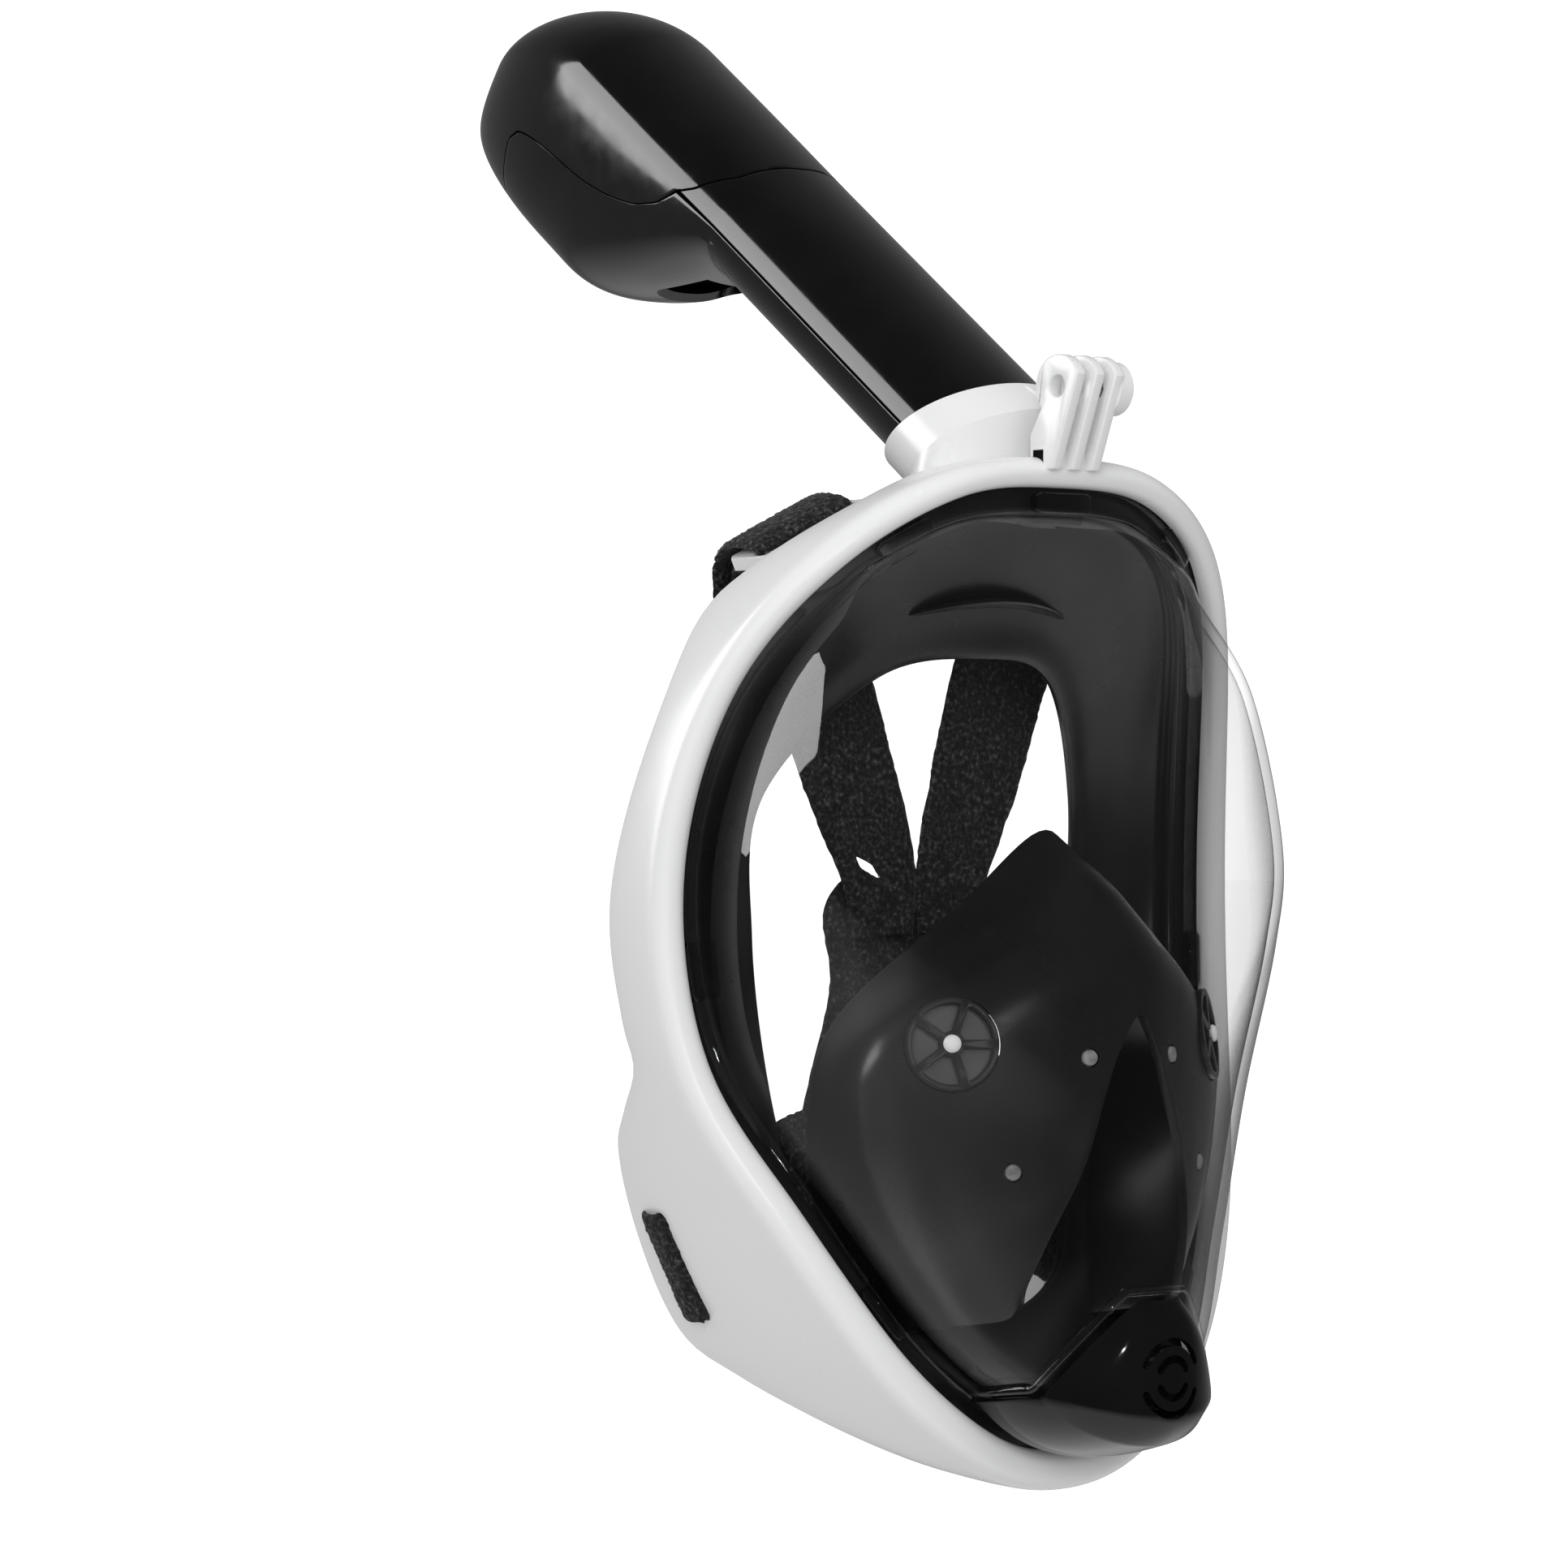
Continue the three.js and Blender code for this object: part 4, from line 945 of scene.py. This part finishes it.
def tube_point(turn, z):
    """The tube and head's outer face in the tube's frame; turns are in degrees from its side."""
    turn, z = np.broadcast_arrays(np.radians(turn), np.asarray(z, float))
    growth = np.clip((z - HEAD_START) / (HEAD_FULL - HEAD_START), 0, 1)
    housing = np.sin(growth * np.pi / 2)
    back = np.sin(turn) > 1e-9
    power = np.where(back, 2 / (2 + 0.8 * housing), 1)
    depth = np.where(back, TUBE_HALF_DEPTH + (HEAD_BACK - TUBE_HALF_DEPTH) * housing, TUBE_HALF_DEPTH)
    c, s = np.cos(turn), np.sin(turn)

    def closing(side):
        start = ROUNDING[side]
        return np.sqrt(np.clip(1 - (np.clip(z - start, 0, None) / (HEAD_END - start)) ** 2, 0, None))

    x = (TUBE_HALF_WIDTH + housing) * np.sign(c) * np.abs(c) ** power * closing("sides")
    y = depth * np.sign(s) * np.abs(s) ** power
    return np.stack([x, HEAD_TIP + (y - HEAD_TIP) * np.where(back, closing("back"), closing("front")), z], -1)


def head_edge(turn, short=0.0):
    """Height of the head cap's edge, with its corners rounded."""
    turn = np.degrees(np.arcsin(np.clip(np.sin(np.radians(turn)), -1, 1))) - short
    knots, heights = zip(*HEAD_EDGE)
    shifts = np.linspace(-1.2, 1.2, 9)
    return np.mean([np.interp(turn + shift, knots, heights) for shift in shifts], axis=0)


def turns_between(start, end):
    """Turns in degrees, closer together where the cap's edge runs steeply."""
    turns = np.linspace(start, end, 121)
    steep = np.concatenate([np.arange(6, 22, 0.4), np.arange(158.4, 174.4, 0.4)])
    steep = steep[(steep > start) & (steep < end)]
    return np.unique(np.round(np.concatenate([turns, steep]), 3))


def shell(name, start, end, node, tools=()):
    turn = turns_between(start, end)
    top = head_edge(turn, EDGE_GAP["turn"]) - EDGE_GAP["height"]
    z = TUBE_START + (top[:, None] - TUBE_START) * np.linspace(0, 1, 150)[None, :]
    grid = in_tube(tube_point(turn[:, None], z))
    made = surface(name, grid, flip=True, node=[node], body="snorkel", **black)
    thick(made, TUBE_WALL, 0.3)
    return cut(made, *tools) if tools else made


def tube_box(name, half_x, y, z):
    """A round-cornered cutter across the tube between two local heights."""
    centre = in_tube([[0, y[0], (z[0] + z[1]) / 2]])[0]
    outline = oblong(half_x, (z[1] - z[0]) / 2, 3)
    return block(name, outline, y[0] - y[1], placed_at(centre, (1, 0, 0), TUBE_AXIS), bevel=0)


def snorkel():
    shell("tube_front_shell", 180 + SPLIT_TURN, 360 - SPLIT_TURN, "tube_front_shell")
    window = tube_box("intake_window", 12, (19, 68), (87, 108))
    shell("tube_rear_shell", SPLIT_TURN, 180 - SPLIT_TURN, "tube_rear_shell", [window])
    turn = turns_between(0, 360)[:-1]
    edge = head_edge(turn)
    share = np.sin(np.linspace(0, 1, 140) * np.pi / 2)
    z = edge[:, None] + (HEAD_END - edge)[:, None] * share[None, :]
    grid = in_tube(tube_point(turn[:, None], z))
    cap = surface("head_cap", grid[:, :-1], wrap=True, flip=True, node=["head_cap"], body="snorkel", **black)
    close_tip(cap, grid[:, -1].mean(0))
    thick(cap, TUBE_WALL, 0.3)


def close_tip(made, tip):
    """Fills the small hole at the head's end."""
    shape = bmesh.new()
    shape.from_mesh(made.data)
    far = [e for e in shape.edges if e.is_boundary and (e.verts[0].co / MM - Vector(tip)).length < 30]
    last = shape.verts.new(Vector(tip) * MM)
    for edge in far:
        shape.faces.new((edge.verts[0], edge.verts[1], last))
    bmesh.ops.recalc_face_normals(shape, faces=shape.faces)
    shape.to_mesh(made.data)
    shape.free()


# ---- collar, button and camera mount ----


def collar_point(angle, v):
    angle, v = np.broadcast_arrays(np.asarray(angle, float), np.asarray(v, float))
    c, s = np.cos(angle), np.sin(angle)
    half_x = TUBE_HALF_WIDTH + COLLAR["clearance"] + COLLAR["wall"]
    half_y = TUBE_HALF_DEPTH + COLLAR["clearance"] + COLLAR["wall"]
    height = COLLAR["rim"] + COLLAR["tilt"] * s - COLLAR["depth"] * np.minimum(v, 0.5) * 2
    top = in_tube(np.stack([half_x * c, half_y * s, height], -1).reshape(-1, 3))
    foot = np.stack([(half_x + 1) * c, -27 + 12.5 * s, 114 - 7 * s], -1)
    share = np.clip(v - 0.5, 0, None) * 2
    share = share * share * (3 - 2 * share) * 0.35 + share * 0.65
    return top.reshape(foot.shape) + (foot - top.reshape(foot.shape)) * share[..., None]


def collar():
    angle = np.linspace(0, 2 * np.pi, 180, endpoint=False)
    grid = collar_point(angle[:, None], np.linspace(0, 1, 49)[None, :])
    made = surface("snorkel_socket", grid, wrap=True, node=["snorkel_socket"], **white)
    thick(made, COLLAR["wall"], 0.6)
    window = tube_box("button_window", 6.4, (12.5, 26), (-13.4, -4.6))
    return cut(made, window)


def collar_ribs():
    """Three low ribs down the front of the collar, beside the camera mount."""
    for index, start in enumerate((-1.62, -1.46, -1.3), 1):
        v = np.linspace(0.05, 0.62, 40)
        angle = start + 0.28 * v
        path = collar_point(angle, v)
        up = np.broadcast_to(np.array(-TUBE_DOWN), path.shape)
        sweep(f"snorkel_socket_rib_{index}", path, 0.9, 0.6, up, **white)


def button():
    centre = Vector(middle("release_button")) - BUTTON_PRESS * 1.2
    made = block(
        "release_button", oblong(6, 4, 2), 2.4, placed_at(centre, (1, 0, 0), TUBE_AXIS),
        bevel=0.6, node=["release_button"], body="button", **white,
    )
    return made


PRONG = {"thickness": 3, "pitch": 6.2, "radius": 7.5, "hole": 2.6, "y": -55, "z": 138.6}


def prong(name, x):
    g = PRONG
    outline = arc((g["y"], g["z"]), g["radius"], -0.75, math.pi - 0.35, 40)
    outline += [(-53.5, 119), (-45.6, 119), (-45.6, 127)]
    at = placed_at((x - g["thickness"] / 2, 0, 0), (0, 1, 0), (0, 0, 1))
    made = block(name, outline, g["thickness"], at, bevel=0, **white)
    hole = arc((g["y"], g["z"]), g["hole"], 0, 2 * math.pi, 33)[:-1]
    deeper = placed_at((x - g["thickness"], 0, 0), (0, 1, 0), (0, 0, 1))
    cut(made, block(f"{name}_hole", hole, 2 * g["thickness"], deeper, bevel=0))
    modify(made, "BEVEL", width=0.45 * MM, segments=3, limit_method="ANGLE", angle_limit=math.radians(50))
    return settle(made)


def camera_mount():
    g = PRONG
    outer = g["pitch"] + g["thickness"] / 2
    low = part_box("camera_mount")[0].z / MM
    base = block(
        "camera_mount", oblong(outer, 3, 1.2), 5.5, placed_at((0, -48.6, low - 0.2), (1, 0, 0), (0, 1, 0)),
        bevel=0.5, node=["camera_mount"], **white,
    )
    for index, x in enumerate((-g["pitch"], 0, g["pitch"]), 1):
        prong(f"camera_prong_{index}", x)
    boss = [(0, -0.4), (6.4, -0.4), (6.4, 3.6), (6.0, 4.0), (0, 4.0)]
    ring = turned("camera_mount_boss", boss, (outer, g["y"], g["z"]), (1, 0, 0), 48, **white)
    pocket = [(4.95 * math.cos(k * math.pi / 3), 4.95 * math.sin(k * math.pi / 3)) for k in range(6)]
    at = placed_at((outer + 0.4, g["y"], g["z"]), (0, 1, 0), (0, 0, 1))
    tools = [block("nut_pocket", pocket, 6, at, bevel=0)]
    bore = [(0, -2), (g["hole"], -2), (g["hole"], 6), (0, 6)]
    tools.append(turned("boss_bore", bore, (outer, g["y"], g["z"]), (1, 0, 0), 32))
    cut(ring, *tools)
    return base


def camera_nut():
    flats = 4.0 / math.cos(math.pi / 6)
    outline = [(flats * math.cos(k * math.pi / 3), flats * math.sin(k * math.pi / 3)) for k in range(6)]
    low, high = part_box("camera_mount_nut")
    at = placed_at((low.x / MM, PRONG["y"], PRONG["z"]), (0, 1, 0), (0, 0, 1))
    thickness = (high.x - low.x) / MM
    made = block(
        "camera_mount_nut", outline, thickness, at, bevel=0, node=["camera_mount_nut"],
        slot="steel", material=STEEL,
    )
    bore = [(0, -1), (2.2, -1), (2.2, thickness + 1), (0, thickness + 1)]
    cut(made, turned("nut_bore", bore, (low.x / MM, PRONG["y"], PRONG["z"]), (1, 0, 0), 32))
    modify(made, "BEVEL", width=0.3 * MM, segments=2, limit_method="ANGLE", angle_limit=math.radians(50))
    return settle(made)


# ---- harness ----

STRAP_THICKNESS = 2.0


def band(name, route, widths, across, side, **plan):
    """A flat band along a route, with rounded, slightly uneven edges."""
    t = np.linspace(0, 1, 220)
    centre = spline(route, t)
    along = unit(np.gradient(centre, axis=0))
    across = np.broadcast_to(np.array(across, float), centre.shape)
    sideways = unit(across - along * (across * along).sum(-1, keepdims=True))
    up = np.cross(along, sideways)
    half = np.interp(t * (len(widths) - 1), range(len(widths)), widths) / 2
    wander = np.interp(np.arange(len(t)), np.arange(0, len(t) + 4, 4), rng.normal(0, 0.16, len(t) // 4 + 1))
    half = half + wander
    edge = STRAP_THICKNESS / 2
    columns = 41
    span = np.linspace(-1, 1, columns)
    sections = []
    for sign in (1, -1):
        for s in span[::sign][:-1] if sign > 0 else span[::sign][:-1]:
            pinch = math.sqrt(max(0.0, 1 - abs(s) ** 14)) if abs(s) < 1 else 0.0
            sections.append(centre + sideways * (half * s)[:, None] + up * sign * edge * pinch)
    rings = np.stack(sections, 1)
    rings[..., 0] *= side
    made = skin(name, rings, **plan)
    fuzz(made, 0.12)
    return settle(made, angle=60)


def fuzz(made, height):
    """Raises and lowers the cloth's points a little, as its loops do."""
    shape = bmesh.new()
    shape.from_mesh(made.data)
    shape.normal_update()
    for vertex in shape.verts:
        vertex.co += vertex.normal * float(rng.normal(0, height)) * MM
    shape.to_mesh(made.data)
    shape.free()


def bar_point(out, back):
    return (UPPER_BAR["x"] + math.sin(BAR_TILT) * out, UPPER_BAR["y"] + back, UPPER_BAR["z"] + math.cos(BAR_TILT) * out)


def upper_strap(side, name):
    route = [
        (11, 4, 8), (12, 4, 24), (20.5, 5, 47), (29, 6, 70), (38, 8, 88), bar_point(-3.6, 6), bar_point(-3.4, -2),
        bar_point(-1.8, -6.3), bar_point(1.8, -6.3), bar_point(3.6, -2), bar_point(3.4, 6), bar_point(-3, 12.5),
        (39, 13, 87), (35, 12, 76),
    ]
    widths = [20, 24, 29, 31, 32, 32, 32, 32, 32, 32, 32, 32, 32, 30]
    across = (math.cos(BAR_TILT), 0, -math.sin(BAR_TILT))
    strap = f"strap_upper_{name}"
    return band(strap, route, widths, across, side, node=[strap], **fabric)


def lower_strap(side, name):
    route = [
        (14, 10.6, -46), (34, 12, -52), (50, 15.4, -60.5), (59, 18.1, -65.5), (64.6, 18.1, -68.5),
        (67.9, 16.4, -70.2), (67.9, 11.5, -70.2), (64.6, 9.9, -68.5), (58.4, 9.9, -65.2),
    ]
    tilt = math.radians(LOWER_SLOT["tilt"])
    strap = f"strap_lower_{name}"
    widths = [32, 32, 31, 30, 30, 30, 30, 30, 29]
    return band(strap, route, widths, (math.sin(tilt), 0, math.cos(tilt)), side, node=[strap], **fabric)


def back_pad():
    low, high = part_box("back_pad")
    half = [(0, 24), (18, 23), (27, 14), (25, -4), (32, -28), (38, -50), (32, -70), (0, -76)]
    outline = both_sides([(x, 0, z) for x, z in half]).at(np.arange(160) / 160)
    centre = np.array([0, 0, -28.0])
    middle_y, half_y = (low.y + high.y) / 2 / MM, (high.y - low.y) / 2 / MM
    rings = []
    for sign in (-1, 1):
        shares = np.linspace(0.02, 1, 34) if sign < 0 else np.linspace(1, 0.02, 34)[1:]
        for share in shares:
            pinch = math.sqrt(max(0.0, 1 - share**24))
            ring = centre + (outline - centre) * share
            ring[:, 1] = middle_y + sign * half_y * pinch
            rings.append(ring)
    made = skin("back_pad", np.stack(rings, 0), node=["back_pad"], **fabric)
    fuzz(made, 0.1)
    return settle(made, angle=60)


# ---- small rigid CAD pieces that keep their shape ----

KEPT = {
    # The check valve discs take the lighter membrane silicone, whose lighter tone is painted back-light.
    "check_valve_disc_left": MEMBRANE_PAINTED_BACKLIGHT, "check_valve_disc_right": MEMBRANE_PAINTED_BACKLIGHT, "drain_valve_disc": RUBBER,
    "drain_valve_seat": BLACK, "air_duct": BLACK, "tube_seal": RUBBER, "float_seat": RUBBER,
    "intake_grille": BLACK, "float": CLEAR_BLOCK,
}


def keep_cad_pieces():
    for name, material in KEPT.items():
        shown = frame["nodes"][name]
        if not shown.data.materials:
            shown.data.materials.append(material)
        for index in range(len(shown.material_slots)):
            shown.material_slots[index].link = "OBJECT"
            shown.material_slots[index].material = material


# ---- stage, light and camera ----

LENS_MM = 126
CAMERA_AZIMUTH = math.radians(-40)
CAMERA_BACK = 1.3722
CAMERA_RIGHT = -0.0064
CAMERA_UP = -0.0169


def camera():
    """Looks level at the mask from its front left, a little off the middle of its box."""
    low, high = cad_bounds
    ahead = Vector((-math.sin(CAMERA_AZIMUTH), math.cos(CAMERA_AZIMUTH), 0))
    right = Vector((math.cos(CAMERA_AZIMUTH), math.sin(CAMERA_AZIMUTH), 0))
    data = bpy.data.cameras.new("camera")
    data.lens = LENS_MM
    data.clip_start = 0.05
    made = bpy.data.objects.new("camera", data)
    scene.collection.objects.link(made)
    made.location = (low + high) / 2 - ahead * CAMERA_BACK + right * CAMERA_RIGHT + Vector((0, 0, CAMERA_UP))
    made.rotation_mode = "QUATERNION"
    made.rotation_quaternion = ahead.to_track_quat("-Z", "Y")
    scene.camera = made
    return ahead, right


def softbox(name, direction, distance, width, height, power, mirrored=False, roll=0):
    """A soft rectangular light that faces the mask; mirrored ones show in reflections only."""
    data = bpy.data.lights.new(name, "AREA")
    data.shape = "RECTANGLE"
    data.size, data.size_y = width, height
    data.energy = power
    made = bpy.data.objects.new(name, data)
    scene.collection.objects.link(made)
    towards = Vector(direction).normalized()
    made.location = (cad_bounds[0] + cad_bounds[1]) / 2 + towards * distance
    made.rotation_mode = "QUATERNION"
    turned_by = Quaternion((0, 0, 1), math.radians(roll))
    made.rotation_quaternion = towards.to_track_quat("Z", "Y") @ turned_by
    made.visible_glossy = mirrored
    made.visible_diffuse = not mirrored
    return made


def stage(ahead, right):
    low, high = cad_bounds
    floor_z = low.z - 0.004
    span = 6
    corners = [(-span, -span), (span, -span), (span, span), (-span, span)]
    mesh = bpy.data.meshes.new("floor")
    mesh.from_pydata([(x, y, floor_z) for x, y in corners], [], [(0, 1, 2, 3)])
    floor = bpy.data.objects.new("floor", mesh)
    scene.collection.objects.link(floor)
    made, tree, shader = principled("floor")
    tree.links.new(tones(tree, noise(tree, 3, 2), [(0.3, 0.93), (0.7, 0.95)]), shader.inputs["Base Color"])
    shader.inputs["Roughness"].default_value = 0.5
    shader.inputs["Emission Color"].default_value = (1, 1, 1, 1)
    shader.inputs["Emission Strength"].default_value = 0.85
    mesh.materials.append(made)
    floor.visible_glossy = False
    floor.visible_diffuse = False
    floor.visible_shadow = False


def world(ahead, right):
    """White for the eye, softer for fill light, and a white backdrop with a dark room in reflections."""
    made = bpy.data.worlds.new("studio")
    scene.world = made
    made.use_nodes = True
    tree = made.node_tree
    shader = tree.nodes["Background"]
    direction = node(tree, "ShaderNodeTexCoord").outputs["Generated"]
    backdrop = (ahead * 0.92 - right * 0.4).normalized()
    towards = node(tree, "ShaderNodeVectorMath", {0: direction, 1: backdrop}, operation="DOT_PRODUCT")
    mirrored_level = node(
        tree, "ShaderNodeMapRange",
        {"Value": towards.outputs["Value"], "From Min": 0.05, "From Max": 0.6, "To Min": 0.06, "To Max": 0.2},
    )
    height = node(tree, "ShaderNodeSeparateXYZ", {"Vector": direction}).outputs["Z"]
    floor_level = node(
        tree, "ShaderNodeMapRange",
        {"Value": height, "From Min": -0.25, "From Max": -0.6, "To Min": 0.0, "To Max": 0.8},
    )
    both_levels = node(
        tree, "ShaderNodeMath", {0: mirrored_level.outputs["Result"], 1: floor_level.outputs["Result"]},
    )
    path = node(tree, "ShaderNodeLightPath")
    level = node(
        tree, "ShaderNodeMix",
        {"Factor": path.outputs["Is Glossy Ray"], "A": 0.5, "B": both_levels.outputs["Value"]},
        data_type="FLOAT",
    )
    seen = node(
        tree, "ShaderNodeMix",
        {"Factor": path.outputs["Is Camera Ray"], "A": level.outputs["Result"], "B": 1.3}, data_type="FLOAT",
    )
    shader.inputs["Color"].default_value = (1, 1, 1, 1)
    tree.links.new(seen.outputs["Result"], shader.inputs["Strength"])
    scene.view_settings.view_transform = "Standard"


def lights(ahead, right):
    up = Vector((0, 0, 1))
    softbox("strip", -ahead * 0.09 - right * 1.07 + up * 0.44, 1.16, 0.62, 0.72, 8.5, mirrored=True, roll=-39)
    softbox("spark", up * 0.16 - ahead * 0.96 + right * 0.24, 1.6, 0.09, 0.06, 1.0, mirrored=True)
    softbox("front", up * 0.25 - ahead - right * 0.15, 1.5, 0.8, 0.8, 9)
    softbox("top", up - ahead * 0.5 + right * 0.2, 1.3, 0.8, 0.8, 3)


# ---- build ----


def ride_all():
    """Puts every planned piece on its body, and hides the CAD nodes that it stands for."""
    for made in list(scene.objects):
        if "planned" in made:
            nodes, body, slot = json.loads(made["planned"])
            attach(made, body)
            if nodes:
                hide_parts(*nodes)
            del made["planned"]


camera_ahead, camera_right = camera()
world(camera_ahead, camera_right)
stage(camera_ahead, camera_right)
lights(camera_ahead, camera_right)

front_frame()
for side in (1, -1):
    settle(slot_bar(side))
rear_frame()
lens()
for index, u in enumerate((0.075, 0.925, 0.26, 0.74, 0.4, 0.6)):
    rim_clip(f"lens_clip_{index + 1}", u, 0.011, -4.6, -1.0, 0.6, 3.2, **trim)
rim_clip("lens_block_top", 0.0, 0.014, -6.2, -1.2, 0.2, 3.3, **trim)
chin_lip()
face_skirt()
skirt_ledge()
nose_pocket()
valves()
drain_cap()
snorkel()
collar()
collar_ribs()
button()
camera_mount()
camera_nut()
for side, name in ((-1, "left"), (1, "right")):
    upper_strap(side, name)
    lower_strap(side, name)
pad = back_pad()
keep_cad_pieces()
ride_all()
